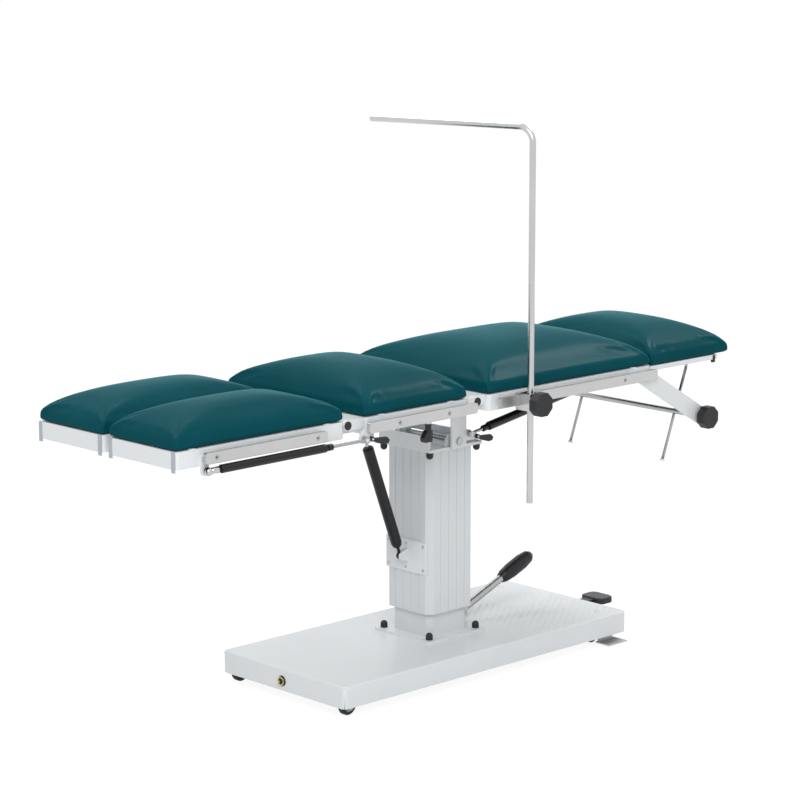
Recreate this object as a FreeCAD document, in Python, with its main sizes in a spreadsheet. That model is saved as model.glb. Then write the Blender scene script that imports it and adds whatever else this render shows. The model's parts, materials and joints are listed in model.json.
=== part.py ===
import FreeCAD, Part
import Sketcher
import os
import re

# Operating table, millimetres.
# +X runs along the table from the leg plates to the head plate, +Y to the far side, +Z up.
# The origin is on the floor under the middle of the lifting column.

doc = FreeCAD.newDocument("operating_table")
sheet = doc.addObject("Spreadsheet::Sheet", "sizes")

SIZES = [
    # base pan and what it stands on
    ("ground_gap", 24), ("pan_length", 1000), ("pan_width", 446), ("pan_height", 55),
    ("pan_wall", 3), ("pan_corner", 14), ("pan_edge", 4),
    ("crossmember_width", 60), ("crossmember_thick", 4),
    ("wheel_radius", 25), ("wheel_width", 18), ("wheel_round", 4), ("axle_radius", 4),
    ("hub_gap", 0.5), ("running_gap", 0.05), ("fork_wall", 3), ("fork_width", 22),
    ("foot_wheel_inset", 34), ("foot_wheel_y", 195),
    ("castor_inset", 62), ("head_castor_y", 172), ("castor_trail", 20), ("kingpin_radius", 6),
    ("kingpin_length", 20), ("crown_radius", 19), ("crown_thick", 5),
    ("brake_block", 15), ("brake_block_half", 6), ("brake_pin_out", 22), ("brake_pin_z", 27),
    ("brake_pin_radius", 3), ("brake_plate_length", 70), ("brake_riser_length", 56),
    ("brake_plate_out", 78), ("brake_plate_z", 7), ("brake_plate_thick", 3), ("brake_gap", 1.5),
    ("earth_radius", 11), ("earth_collar", 5), ("earth_pin_radius", 3), ("earth_pin_length", 12),
    ("earth_z", 48),
    # lifting column
    ("flange_size", 200), ("flange_thick", 7), ("flange_corner", 6), ("bolt_spread", 164),
    ("cap_radius", 9), ("cap_barrel", 9), ("bolt_radius", 5), ("bolt_gap", 0.5),
    ("inner_width", 138), ("inner_chamfer", 13), ("inner_top", 470), ("tube_wall", 6),
    ("outer_width", 160), ("outer_chamfer", 15), ("outer_bottom", 146), ("outer_top", 564),
    ("guide_width", 70), ("guide_height", 30), ("guide_gap", 0.1),
    ("groove_width", 3), ("groove_depth", 1), ("groove_pitch", 14),
    ("lift_cylinder_radius", 30), ("lift_cylinder_top", 350), ("ram_radius", 16),
    ("ram_bottom", 100), ("ram_seat", 96),
    # foot pump lever
    ("lever_x", 108), ("lever_z", 107), ("lever_slope", 22), ("lever_tube_radius", 10),
    ("lever_hub_radius", 11), ("lever_pin_radius", 5), ("cheek_gap", 24), ("cheek_thick", 5),
    ("cheek_height", 26), ("side_gap", 0.3), ("grip_start", 162), ("grip_length", 122),
    ("grip_radius", 20), ("grip_neck", 13),
    # brake pedal at the head end
    ("pedal_inset", 30), ("pedal_z", 46), ("pedal_reach", 190), ("pedal_bar_width", 30),
    ("pedal_bar_thick", 8), ("pad_width", 78), ("pad_length", 58), ("pad_height", 16),
    ("slot_gap", 3), ("pedal_drop", 6),
    # column head and tilting cradle
    ("head_plate_length", 184), ("head_plate_width", 190), ("head_plate_thick", 7),
    ("foot_wall_top", 603), ("plate_thick", 6), ("ear_face", 88), ("ear_foot_x", 32),
    ("ear_head_x", 14), ("ear_over_shaft", 17), ("shaft_z", 583), ("shaft_radius", 6),
    ("cheek_plane", 97), ("cheek_width", 50), ("cheek_bottom", 566), ("web_bottom", 587),
    ("web_top", 607), ("beam_y", 100), ("beam_width", 40), ("beam_height", 24), ("beam_wall", 3),
    ("beam_foot_x", 440), ("beam_head_x", 25), ("tie_width", 24),
    # frames
    ("deck_z", 726), ("frame_height", 40), ("frame_width", 500), ("profile_width", 26),
    ("profile_wall", 4), ("frame_corner", 10), ("hinge_z", 714), ("lug_radius", 12),
    ("lug_thick", 10), ("lug_inset", 4), ("ear_thick", 8), ("hinge_pin_radius", 5),
    ("hinge_cap_radius", 10), ("hinge_cap_thick", 2.5), ("inner_lug_plane", 14),
    ("leg_foot_x", 1022), ("leg_end_x", 522), ("leg_gap", 20), ("leg_hinge_x", 508),
    ("seat_foot_x", 456), ("seat_head_x", 116), ("back_hinge_x", 82), ("back_foot_x", 48),
    ("back_head_x", 546),
    # accessory rails
    ("rail_height", 25), ("rail_thick", 10), ("rail_gap", 12), ("rail_z", 705.5),
    ("boss_radius", 8), ("rail_corner", 5), ("sink_radius", 6), ("screw_radius", 3.2),
    ("leg_rail_x", 774), ("leg_rail_length", 360), ("leg_screw_spread", 300),
    ("seat_rail_x", 284), ("seat_rail_length", 356), ("seat_screw_spread", 162),
    ("back_rail_x", 262), ("back_rail_length", 576), ("back_screw_spread", 324),
    # gas springs
    ("spring_pin_radius", 4), ("eye_radius", 9), ("eye_thick", 10), ("rod_radius", 4),
    ("leg_spring_out", 17), ("leg_spring_seat_x", 470), ("leg_spring_seat_z", 678),
    ("leg_spring_foot_x", 944), ("leg_spring_foot_z", 676), ("leg_cylinder_start", 126),
    ("leg_cylinder_end", 440), ("leg_cylinder_radius", 10), ("leg_rod_end", 300),
    ("collar_length", 20), ("collar_radius", 8), ("bracket_thick", 6), ("bracket_half", 11),
    ("back_spring_y", 110), ("back_spring_low_x", 33), ("back_spring_low_z", 599),
    ("back_spring_high_x", 430), ("back_spring_high_z", 664), ("back_cylinder_start", 62),
    ("back_cylinder_radius", 11), ("back_rod_end", 300), ("back_eye_radius", 8),
    ("back_cylinder_end", 380), ("back_release_x", 60), ("back_release_z", 588),
    ("tilt_spring_low_x", 104), ("tilt_spring_low_z", 291), ("tilt_spring_high_x", 222),
    ("tilt_spring_high_z", 602), ("tilt_cylinder_radius", 14), ("tilt_cylinder_start", 20),
    ("tilt_cylinder_end", 308), ("tilt_rod_end", 220), ("bore_end", 10),
    ("spring_plate_width", 140), ("spring_plate_height", 82), ("spring_plate_z", 290),
    ("spring_plate_thick", 5), ("plate_screw_pitch", 62), ("plate_screw_rise", 60),
    # release handles
    ("handle_x", 236), ("handle_inset", 16), ("handle_stem_radius", 8), ("handle_length", 44),
    ("handle_grip_start", 16), ("handle_grip_reach", 20), ("handle_socket", 6), ("paddle_length", 40),
    ("paddle_height", 18), ("paddle_thick", 7), ("paddle_arm", 14), ("release_x", 444),
    ("release_z", 676), ("release_pin_radius", 2.5),
    # head section
    ("arm_thick", 8), ("arm_width", 45), ("arm_slope", 30.5),
    ("arm_root_x", 470), ("arm_bend_x", 530), ("crossbar_x", 745), ("crossbar_z", 567),
    ("crossbar_radius", 7), ("head_rod_radius", 4), ("head_rod_inset", 85), ("head_rod_lean", 20.5),
    ("head_rod_down", 136), ("rod_foot_radius", 7), ("rod_foot_height", 4),
    ("head_foot_x", 556), ("head_tip_x", 816), ("head_frame_z", 720), ("head_bar_height", 12),
    ("head_bar_width", 20), ("head_inset", 10), ("plug_length", 9),
    ("knob_radius", 31), ("knob_thick", 24), ("knob_sides", 8), ("knob_hub_radius", 14),
    ("knob_hub_length", 6), ("knob_edge", 5), ("knob_gap", 1), ("stud_radius", 4),
    ("stud_length", 15),
    # cushions
    ("cushion_edge", 32), ("leg_crown", 74), ("seat_crown", 86),
    ("back_crown", 92), ("head_crown", 86), ("cushion_overlap", 2), ("head_cushion_foot_x", 562),
    ("head_cushion_tip_x", 868), ("cross_crown", 25), ("cushion_corner", 18),
    # rail clamp and screen pole
    ("clamp_x", 60), ("clamp_half", 18), ("clamp_gap", 0.2), ("clamp_top", 722),
    ("clamp_bottom", 680), ("clamp_out", 54), ("clamp_inset", 5), ("lip_height", 4),
    ("pole_out", 38), ("pole_radius", 8), ("bush_radius", 11), ("pole_bottom", 448),
    ("pole_top", 1370), ("pole_bend", 38), ("pole_arm", 460), ("pole_turn", 14),
    ("clamp_knob_z", 699), ("spindle_radius", 5),
]

# sizes that follow from others
TIED = {
    "foot_wheel_x": "pan_length / 2 - foot_wheel_inset",
    "head_castor_x": "pan_length / 2 - castor_inset",
    "pedal_x": "pan_length / 2 - pedal_inset",
    "ear_top": "shaft_z + ear_over_shaft",
    "lug_plane": "frame_width / 2 - lug_inset",
    "leg_spring_y": "frame_width / 2 + leg_spring_out",
    "handle_y": "frame_width / 2 - handle_inset",
    "arm_plane": "frame_width / 2 + arm_thick",
    "head_rod_y": "frame_width / 2 - head_rod_inset",
    "head_half_width": "frame_width / 2 - head_inset",
    "clamp_front": "frame_width / 2 + clamp_out",
    "clamp_back": "frame_width / 2 + clamp_inset",
    "pole_y": "frame_width / 2 + pole_out",
}

for row, (alias, value) in enumerate(SIZES, start=1):
    sheet.set(f"A{row}", alias)
    sheet.set(f"B{row}", str(value))
    sheet.setAlias(f"B{row}", alias)
doc.recompute()

ALIASES = {alias for alias, _ in SIZES}
WORD = re.compile(r"[A-Za-z_][A-Za-z_0-9]*")
NODES = []


def full(expression):
    """The expression with tied sizes written out and every size's name pointing at the sheet."""
    text = WORD.sub(lambda m: f"({TIED[m[0]]})" if m[0] in TIED else m[0], str(expression))
    return WORD.sub(lambda m: f"sizes.{m[0]}" if m[0] in ALIASES else m[0], text)


def bind(thing, path, expression):
    thing.setExpression(path, full(expression))


def place(thing, x="0", y="0", z="0"):
    for axis, expression in zip("xyz", (x, y, z)):
        bind(thing, f".Placement.Base.{axis}", expression)


def turn(thing, axis, degrees):
    """Turns a thing about an axis by an angle that the sheet drives."""
    thing.Placement = FreeCAD.Placement(FreeCAD.Vector(), FreeCAD.Rotation(axis, 1))
    bind(thing, ".Placement.Rotation.Angle", f"({degrees}) * 1deg")


X_AXIS = FreeCAD.Vector(1, 0, 0)
Y_AXIS = FreeCAD.Vector(0, 1, 0)
Z_AXIS = FreeCAD.Vector(0, 0, 1)
ALONG_Y = FreeCAD.Rotation(X_AXIS, -90)
ALONG_X = FreeCAD.Rotation(Y_AXIS, 90)


def box(length, width, height, x, y, z):
    """A block from its low corner."""
    thing = doc.addObject("Part::Box", "block")
    for path, expression in (("Length", length), ("Width", width), ("Height", height)):
        bind(thing, path, expression)
    place(thing, x, y, z)
    return thing


def cylinder(radius, length, x, y, z, rotation=None):
    """A round bar from the centre of its low end, along Z unless turned."""
    thing = doc.addObject("Part::Cylinder", "round")
    bind(thing, "Radius", radius)
    bind(thing, "Height", length)
    if rotation:
        thing.Placement = FreeCAD.Placement(FreeCAD.Vector(), rotation)
    place(thing, x, y, z)
    return thing


def ball(radius, x, y, z):
    thing = doc.addObject("Part::Sphere", "ball")
    bind(thing, "Radius", radius)
    place(thing, x, y, z)
    return thing


def fuse(*things):
    thing = doc.addObject("Part::MultiFuse", "joined")
    thing.Shapes = list(things)
    thing.Refine = True
    return thing


def cut(base, *tools):
    thing = doc.addObject("Part::Cut", "cut")
    thing.Base = base
    thing.Tool = tools[0] if len(tools) == 1 else fuse(*tools)
    return thing


def common(*things):
    thing = doc.addObject("Part::MultiCommon", "shared")
    thing.Shapes = list(things)
    return thing


def group(*things):
    """Separate solids that share a node."""
    thing = doc.addObject("Part::Compound", "group")
    thing.Links = list(things)
    return thing


def node(label, thing):
    """Names a finished piece; its label is its file's name."""
    thing.Label = label
    NODES.append(thing)
    return thing


class Piece:
    """A body whose sketches and features take their sizes from the sheet."""

    def __init__(self, x="0", y="0", z="0", axis=None, degrees=None):
        self.body = doc.addObject("PartDesign::Body", "body")
        if axis:
            turn(self.body, axis, degrees)
        place(self.body, x, y, z)
        self.profile = None

    def sketch(self, role, offset="0"):
        """Starts a sketch on one of the body's own planes, moved along its normal."""
        planes = self.body.Origin.OriginFeatures
        plane = next(plane for plane in planes if plane.Role == role)
        self.profile = self.body.newObject("Sketcher::SketchObject", "outline")
        self.profile.AttachmentSupport = (plane, [""])
        self.profile.MapMode = "FlatFace"
        bind(self.profile, ".AttachmentOffset.Base.z", offset)
        return self

    def _point(self, geometry, position, x, y):
        for kind, expression in (("DistanceX", x), ("DistanceY", y)):
            seed = 1.0 + geometry
            index = self.profile.addConstraint(
                Sketcher.Constraint(kind, -1, 1, geometry, position, seed))
            bind(self.profile, f"Constraints[{index}]", expression)

    def polygon(self, *points):
        """A closed outline, each corner held by its two distances from the origin."""
        first = self.profile.GeometryCount
        count = len(points)
        seeds = [FreeCAD.Vector(10 * i, 7 * i * i, 0) for i in range(count)]
        for i in range(count):
            self.profile.addGeometry(Part.LineSegment(seeds[i], seeds[(i + 1) % count]))
        for i in range(count):
            after = first + (i + 1) % count
            self.profile.addConstraint(Sketcher.Constraint("Coincident", first + i, 2, after, 1))
        for i, (x, y) in enumerate(points):
            self._point(first + i, 1, x, y)
        return self

    def rectangle(self, x0, x1, y0, y1):
        return self.polygon((x0, y0), (x1, y0), (x1, y1), (x0, y1))

    def circle(self, x, y, radius):
        shape = Part.Circle(FreeCAD.Vector(1, 1, 0), Z_AXIS, 1)
        index = self.profile.addGeometry(shape)
        self._point(index, 3, x, y)
        held = self.profile.addConstraint(Sketcher.Constraint("Radius", index, 1.0))
        bind(self.profile, f"Constraints[{held}]", radius)
        return self

    def pad(self, length, both=False, back=False):
        feature = self.body.newObject("PartDesign::Pad", "pad")
        feature.Profile = self.profile
        bind(feature, "Length", length)
        feature.SideType = "Symmetric" if both else "One side"
        feature.Reversed = back
        return self

    def pocket(self, length=None, back=False):
        """Cuts the sketch away: right through both ways, or by a length."""
        feature = self.body.newObject("PartDesign::Pocket", "pocket")
        feature.Profile = self.profile
        if length is None:
            feature.SideType = "Symmetric"
            feature.Type = "ThroughAll"
        else:
            bind(feature, "Length", length)
            feature.Reversed = back
        return self

    def revolve(self, axis="H_Axis"):
        feature = self.body.newObject("PartDesign::Revolution", "turned")
        feature.Profile = self.profile
        feature.ReferenceAxis = (self.profile, [axis])
        feature.Angle = 360
        return self

    def _edges(self, pick):
        doc.recompute()
        solid = self.body.Tip.Shape
        return [f"Edge{i}" for i, edge in enumerate(solid.Edges, start=1) if pick(edge)]

    def fillet(self, radius, pick):
        names = self._edges(pick)
        feature = self.body.newObject("PartDesign::Fillet", "rounded")
        feature.Base = (self.body.Tip if self.body.Tip != feature else feature.BaseFeature, names)
        bind(feature, "Radius", radius)
        return self

    def chamfer(self, size, pick):
        names = self._edges(pick)
        feature = self.body.newObject("PartDesign::Chamfer", "bevelled")
        feature.Base = (self.body.Tip if self.body.Tip != feature else feature.BaseFeature, names)
        bind(feature, "Size", size)
        return self


def upright(edge):
    """An edge that runs along Z."""
    size = edge.BoundBox
    return size.ZLength > 1 and size.XLength < 0.01 and size.YLength < 0.01


def across(edge):
    """An edge that runs along Y."""
    size = edge.BoundBox
    return size.YLength > 1 and size.XLength < 0.01 and size.ZLength < 0.01


def level_at(height):
    """Picks edges that lie flat at a height."""
    return lambda edge: edge.BoundBox.ZLength < 0.01 and abs(edge.BoundBox.ZMin - height) < 0.01


def size_of(expression):
    """The present value of an expression, for picking edges and counting copies."""
    cell = doc.addObject("Part::Box", "probe")
    bind(cell, "Length", expression)
    doc.recompute()
    value = cell.Length.Value
    doc.removeObject(cell.Name)
    return value


PAN_TOP = "(ground_gap + pan_height)"
FLANGE_TOP = "(ground_gap + pan_height + flange_thick)"
FRAME_BOTTOM = "(deck_z - frame_height)"
HEAD_TOP = "(outer_top + head_plate_thick)"


def base_pan():
    """A folded pan, open below, with a cross channel at each end and the foot wheels' forks."""
    pan = Piece(z="ground_gap")
    half = ("-pan_length / 2", "pan_length / 2", "-pan_width / 2", "pan_width / 2")
    pan.sketch("XY_Plane").rectangle(*half).pad("pan_height")
    pan.fillet("pan_corner", upright)
    pan.fillet("pan_edge", level_at(size_of("pan_height")))
    inner = ["-(pan_length / 2 - pan_wall)", "pan_length / 2 - pan_wall",
             "-(pan_width / 2 - pan_wall)", "pan_width / 2 - pan_wall"]
    pan.sketch("XY_Plane").rectangle(*inner).pocket("pan_height - pan_wall", back=True)
    for x in (-1, 1):
        for y in (-1, 1):
            pan.sketch("XY_Plane").circle(f"{x} * bolt_spread / 2", f"{y} * bolt_spread / 2",
                                          "bolt_radius + bolt_gap").pocket()
    pedal = ("pedal_z - ground_gap - pedal_bar_thick / 2 - slot_gap - pedal_drop",
             "pedal_z - ground_gap + pedal_bar_thick / 2 + slot_gap")
    pan.sketch("YZ_Plane", "pan_length / 2 - 2 * pan_wall")
    pan.rectangle("-pedal_bar_width / 2 - slot_gap", "pedal_bar_width / 2 + slot_gap", *pedal)
    pan.pocket("4 * pan_wall", back=True)
    parts = [pan.body]
    for x in ("-foot_wheel_x", "head_castor_x"):
        bar = box("crossmember_width", "pan_width - 2 * pan_wall", "crossmember_thick",
                  f"{x} - crossmember_width / 2", "pan_wall - pan_width / 2",
                  f"{PAN_TOP} - pan_wall - crossmember_thick")
        parts.append(bar)
    seat = f"({PAN_TOP} - pan_wall - crossmember_thick)"
    for side in (-1, 1):
        y = f"({side} * foot_wheel_y)"
        for cheek in (-1, 1):
            low = f"{y} + {cheek} * (fork_width / 2 + fork_wall / 2) - fork_wall / 2"
            parts.append(box("crown_radius", "fork_wall", f"{seat} - wheel_radius",
                             "-foot_wheel_x - crown_radius / 2", low, "wheel_radius"))
            parts.append(cylinder("crown_radius / 2", "fork_wall", "-foot_wheel_x", low,
                                  "wheel_radius", ALONG_Y))
        parts.append(cylinder("axle_radius", "fork_width + 2 * fork_wall", "-foot_wheel_x",
                              f"{y} - fork_width / 2 - fork_wall", "wheel_radius", ALONG_Y))
        # blocks that carry the head castors' kingpins
        parts.append(cylinder("crown_radius", "crown_thick", "head_castor_x",
                              f"{side} * head_castor_y", f"{seat} - crown_thick"))
    # ears for the brake pedal's pivot
    for cheek in (-1, 1):
        low = f"{cheek} * (pedal_bar_width / 2 + side_gap + pan_wall / 2) - pan_wall / 2"
        parts.append(box("4 * pan_wall", "pan_wall", f"{PAN_TOP} - pan_wall - pedal_z + 2 * pan_wall",
                         "pedal_x - 2 * pan_wall", low, "pedal_z - 2 * pan_wall"))
    bores = [cylinder("kingpin_radius + running_gap", "kingpin_length", "head_castor_x",
                      f"{side} * head_castor_y", f"{seat} - crown_thick - 1") for side in (-1, 1)]
    bores.append(cylinder("axle_radius + running_gap", "pedal_bar_width + 4 * pan_wall",
                          "pedal_x", "-pedal_bar_width / 2 - 2 * pan_wall", "pedal_z", ALONG_Y))
    node("base_pan", cut(fuse(*parts), *bores))


def wheel(label, x, y):
    """Tyre and hub: a rounded rim, dished sides and a bore for the axle."""
    body = Piece(x, y, "wheel_radius")
    half = "wheel_width / 2"
    rim = "(wheel_radius - wheel_round)"
    body.sketch("YZ_Plane").polygon(
        (f"-{half} - hub_gap", "axle_radius + running_gap"), (f"{half} + hub_gap", "axle_radius + running_gap"),
        (f"{half} + hub_gap", "axle_radius * 2"), (f"{half} - 2", "axle_radius * 2 + 2"),
        (f"{half} - 2", "wheel_radius * 0.66"), (half, "wheel_radius * 0.7"), (half, rim),
        (f"{half} - wheel_round", "wheel_radius"), (f"wheel_round - {half}", "wheel_radius"),
        (f"-{half}", rim), (f"-{half}", "wheel_radius * 0.7"), (f"2 - {half}", "wheel_radius * 0.66"),
        (f"2 - {half}", "axle_radius * 2 + 2"), (f"-{half} - hub_gap", "axle_radius * 2"))
    body.revolve("H_Axis")
    node(label, body.body)


def head_castor(label, side):
    """A swivelling fork on its kingpin, with the axle that carries the wheel."""
    y = f"({side} * head_castor_y)"
    seat = f"({PAN_TOP} - pan_wall - crossmember_thick - crown_thick - side_gap)"
    x = "(head_castor_x - castor_trail)"
    parts = [cylinder("crown_radius", "crown_thick", "head_castor_x", y, f"{seat} - crown_thick"),
             cylinder("kingpin_radius", "crown_thick + crossmember_thick", "head_castor_x", y, seat)]
    for cheek in (-1, 1):
        low = f"{y} + {cheek} * (fork_width / 2 + fork_wall / 2) - fork_wall / 2"
        leg = Piece(y=f"{y} + {cheek} * (fork_width / 2 + fork_wall / 2)")
        leg.sketch("XZ_Plane").polygon(
            (f"{x} - crown_radius / 2", "wheel_radius"), (f"{x} + crown_radius / 2", "wheel_radius - 4"),
            ("head_castor_x + crown_radius - 6", f"{seat} - crown_thick"),
            ("head_castor_x + crown_radius - 6", seat), ("head_castor_x - crown_radius + 4", seat),
            (f"{x} - crown_radius / 2", "wheel_radius + 8"))
        leg.pad("fork_wall", both=True)
        parts.append(leg.body)
        parts.append(cylinder("crown_radius / 2", "fork_wall", x, low, "wheel_radius", ALONG_Y))
    parts.append(cylinder("axle_radius", "fork_width + 2 * fork_wall", x,
                          f"{y} - fork_width / 2 - fork_wall", "wheel_radius", ALONG_Y))
    # the block on the outer cheek, bored for the brake plate's pin
    low = f"{y} + fork_width / 2 + fork_wall"
    if side < 0:
        low = f"{y} - fork_width / 2 - fork_wall - brake_block"
    parts.append(box("2 * brake_block_half", "brake_block", "10", "head_castor_x - brake_block_half",
                     low, "brake_pin_z - 5"))
    bore = cylinder("brake_pin_radius + running_gap", "4 * brake_block_half",
                    "head_castor_x - 2 * brake_block_half", f"{y} + {side} * brake_pin_out",
                    "brake_pin_z", ALONG_X)
    node(label, cut(fuse(*parts), bore))


def castor_brake(label, side):
    """The stepped plate beside a head castor: a riser, a flat toe plate and its pin."""
    y = f"({side} * head_castor_y)"
    out = "(fork_width / 2 + fork_wall + brake_block + brake_gap)"
    thick = "brake_plate_thick"
    riser = Piece(x="head_castor_x", y=y)
    riser.sketch("YZ_Plane").rectangle(f"{side} * {out}", f"{side} * ({out} + {thick})",
                                       "brake_plate_z", "brake_pin_z + 5")
    riser.pad("brake_riser_length", both=True)
    toe = Piece(x="head_castor_x", y=y)
    toe.sketch("YZ_Plane").rectangle(f"{side} * {out}", f"{side} * brake_plate_out",
                                     "brake_plate_z", f"brake_plate_z + {thick}")
    toe.pad("brake_plate_length", both=True)
    parts = [riser.body, toe.body]
    reach = f"({out} - brake_pin_out + brake_pin_radius + 1)"
    for end in (-1, 1):
        middle = f"head_castor_x + {end} * (brake_block_half + side_gap + {thick} / 2)"
        low = f"{y} + brake_pin_out - brake_pin_radius" if side > 0 else f"{y} - {out} - 1"
        parts.append(box(thick, reach, "2 * brake_pin_radius + 2", f"{middle} - {thick} / 2", low,
                         "brake_pin_z - brake_pin_radius - 1"))
    half = f"(brake_block_half + side_gap + {thick})"
    parts.append(cylinder("brake_pin_radius", f"2 * {half}", f"head_castor_x - {half}",
                          f"{y} + {side} * brake_pin_out", "brake_pin_z", ALONG_X))
    node(label, fuse(*parts))


def earth_terminal():
    """The potential equalisation pin in its collar on the foot end."""
    face = "(-pan_length / 2)"
    collar = cylinder("earth_radius", "earth_collar", f"{face} - earth_collar", "0", "earth_z", ALONG_X)
    well = cylinder("earth_radius * 0.72", "earth_collar", f"{face} - earth_collar - 1", "0",
                    "earth_z", ALONG_X)
    pin = cylinder("earth_pin_radius", "earth_pin_length", f"{face} - earth_pin_length", "0",
                   "earth_z", ALONG_X)
    node("earth_terminal", fuse(cut(collar, well), pin))


def dome_caps(top, direction):
    """Four dome nuts on the bolts of a flange; the bolts' shanks go through the plate."""
    solids = []
    for x in (-1, 1):
        for y in (-1, 1):
            at = (f"{x} * bolt_spread / 2", f"{y} * bolt_spread / 2")
            if direction > 0:
                barrel = cylinder("cap_radius", "cap_barrel", *at, top)
                shank = cylinder("bolt_radius", "flange_thick + pan_wall", *at,
                                 f"{top} - flange_thick - pan_wall")
                crown = ball("cap_radius", *at, f"{top} + cap_barrel")
            else:
                barrel = cylinder("cap_radius", "cap_barrel", *at, f"{top} - cap_barrel")
                shank = cylinder("bolt_radius", "head_plate_thick", *at, top)
                crown = ball("cap_radius", *at, f"{top} - cap_barrel")
            solids.append(fuse(barrel, crown, shank))
    return group(*solids)


def column_flange():
    body = Piece(z=PAN_TOP)
    half = "flange_size / 2"
    body.sketch("XY_Plane").rectangle(f"-{half}", half, f"-{half}", half).pad("flange_thick")
    body.fillet("flange_corner", upright)
    for x in (-1, 1):
        for y in (-1, 1):
            body.sketch("XY_Plane").circle(f"{x} * bolt_spread / 2", f"{y} * bolt_spread / 2",
                                           "bolt_radius + bolt_gap").pocket()
    node("column_flange", body.body)
    node("flange_bolt_caps", dome_caps(FLANGE_TOP, 1))


def octagon(body, half, chamfer):
    """A square outline with its corners cut off."""
    c = f"({half} - {chamfer})"
    return body.polygon((f"-{c}", f"-{half}"), (c, f"-{half}"), (half, f"-{c}"), (half, c),
                        (c, half), (f"-{c}", half), (f"-{half}", c), (f"-{half}", f"-{c}"))


def inner_column():
    body = Piece(z=FLANGE_TOP)
    octagon(body.sketch("XY_Plane"), "(inner_width / 2)", "inner_chamfer")
    body.pad(f"inner_top - {FLANGE_TOP}")
    octagon(body.sketch("XY_Plane"), "(inner_width / 2 - tube_wall)", "(inner_chamfer - tube_wall / 2)")
    body.pocket()
    node("inner_column", body.body)


def lift_ram():
    """The oil cylinder inside the column, and the ram that carries the column's head."""
    body = Piece(z=FLANGE_TOP)
    body.sketch("XY_Plane").circle("0", "0", "lift_cylinder_radius")
    body.pad(f"lift_cylinder_top - {FLANGE_TOP}")
    body.sketch("XY_Plane", f"ram_seat - {FLANGE_TOP}").circle("0", "0", "ram_radius + running_gap")
    body.pocket(f"lift_cylinder_top - ram_seat + 1", back=True)
    node("lift_cylinder", body.body)
    node("lift_ram", cylinder("ram_radius", "outer_top - ram_bottom", "0", "0", "ram_bottom"))


def pump_pivot_bracket():
    """Two cheeks behind the column that hold the foot lever's pin."""
    face = "(inner_width / 2)"
    cheeks = []
    for side in (-1, 1):
        body = Piece(y=f"{side} * (cheek_gap / 2 + cheek_thick / 2)")
        body.sketch("XZ_Plane").polygon(
            (face, f"{FLANGE_TOP}"), ("lever_x - 8", f"{FLANGE_TOP}"),
            ("lever_x + 12", "lever_z - 10"), ("lever_x + 12", "lever_z + 12"),
            (face, "lever_z + 22"))
        body.pad("cheek_thick", both=True)
        body.sketch("XZ_Plane").circle("lever_x", "lever_z", "lever_pin_radius + running_gap").pocket()
        cheeks.append(body.body)
    rib = box("6", "cheek_gap", "cheek_height - 8", face, "-cheek_gap / 2", FLANGE_TOP)
    node("pump_pivot_bracket", fuse(*cheeks, rib))


def foot_lever():
    """The pump lever: a hub on its pin, a tube that rises towards the head end, and a grip."""
    tube = Piece("lever_x", "0", "lever_z", Y_AXIS, "-lever_slope")
    tube.sketch("YZ_Plane").circle("0", "0", "lever_tube_radius").pad("grip_start + 20")
    hub = cylinder("lever_hub_radius", "cheek_gap - 2 * side_gap", "lever_x",
                   "side_gap - cheek_gap / 2", "lever_z", ALONG_Y)
    pin = cylinder("lever_pin_radius", "cheek_gap + 2 * cheek_thick + 4", "lever_x",
                   "-cheek_gap / 2 - cheek_thick - 2", "lever_z", ALONG_Y)
    node("foot_lever_arm", fuse(tube.body, hub, pin))
    grip = Piece("lever_x", "0", "lever_z", Y_AXIS, "-lever_slope")
    start = "grip_start"
    tip = "(grip_start + grip_length)"
    grip.sketch("XZ_Plane").polygon(
        (start, "lever_tube_radius"), (start, "grip_neck"), (f"{start} + 12", "grip_radius * 0.86"),
        (f"{start} + 40", "grip_radius"), (f"{tip} - 40", "grip_radius"),
        (f"{tip} - 14", "grip_radius * 0.82"), (f"{tip} - 4", "grip_radius * 0.5"), (tip, "3"),
        (tip, "0"), (f"{start} + 20", "0"), (f"{start} + 20", "lever_tube_radius"))
    grip.revolve("H_Axis")
    node("foot_lever_grip", grip.body)


def end_pedal():
    """The brake pedal at the head end: a flat bar on a pivot in the pan, with a rubber pad."""
    bar = Piece(y="0")
    bar.sketch("XZ_Plane").polygon(
        ("pedal_x - 10", "pedal_z - pedal_bar_thick / 2"),
        ("pedal_x + pedal_reach - 20", "pedal_z - pedal_bar_thick / 2"),
        ("pedal_x + pedal_reach - 20", "pedal_z + pedal_bar_thick / 2"),
        ("pedal_x - 10", "pedal_z + pedal_bar_thick / 2"))
    bar.pad("pedal_bar_width", both=True)
    pin = cylinder("axle_radius", "pedal_bar_width + 2 * side_gap + 2 * pan_wall", "pedal_x",
                   "-pedal_bar_width / 2 - side_gap - pan_wall", "pedal_z", ALONG_Y)
    pad = Piece(z="pedal_z - pad_height / 2")
    tip = "(pedal_x + pedal_reach)"
    half = "(pad_width / 2)"
    pad.sketch("XY_Plane").rectangle(f"{tip} - pad_length", tip, f"-{half}", half).pad("pad_height")
    pad.fillet("pad_length / 3", upright)
    pad.fillet("pad_height / 3", level_at(size_of("pad_height")))
    node("end_pedal", fuse(bar.body, pin, pad.body))


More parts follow.
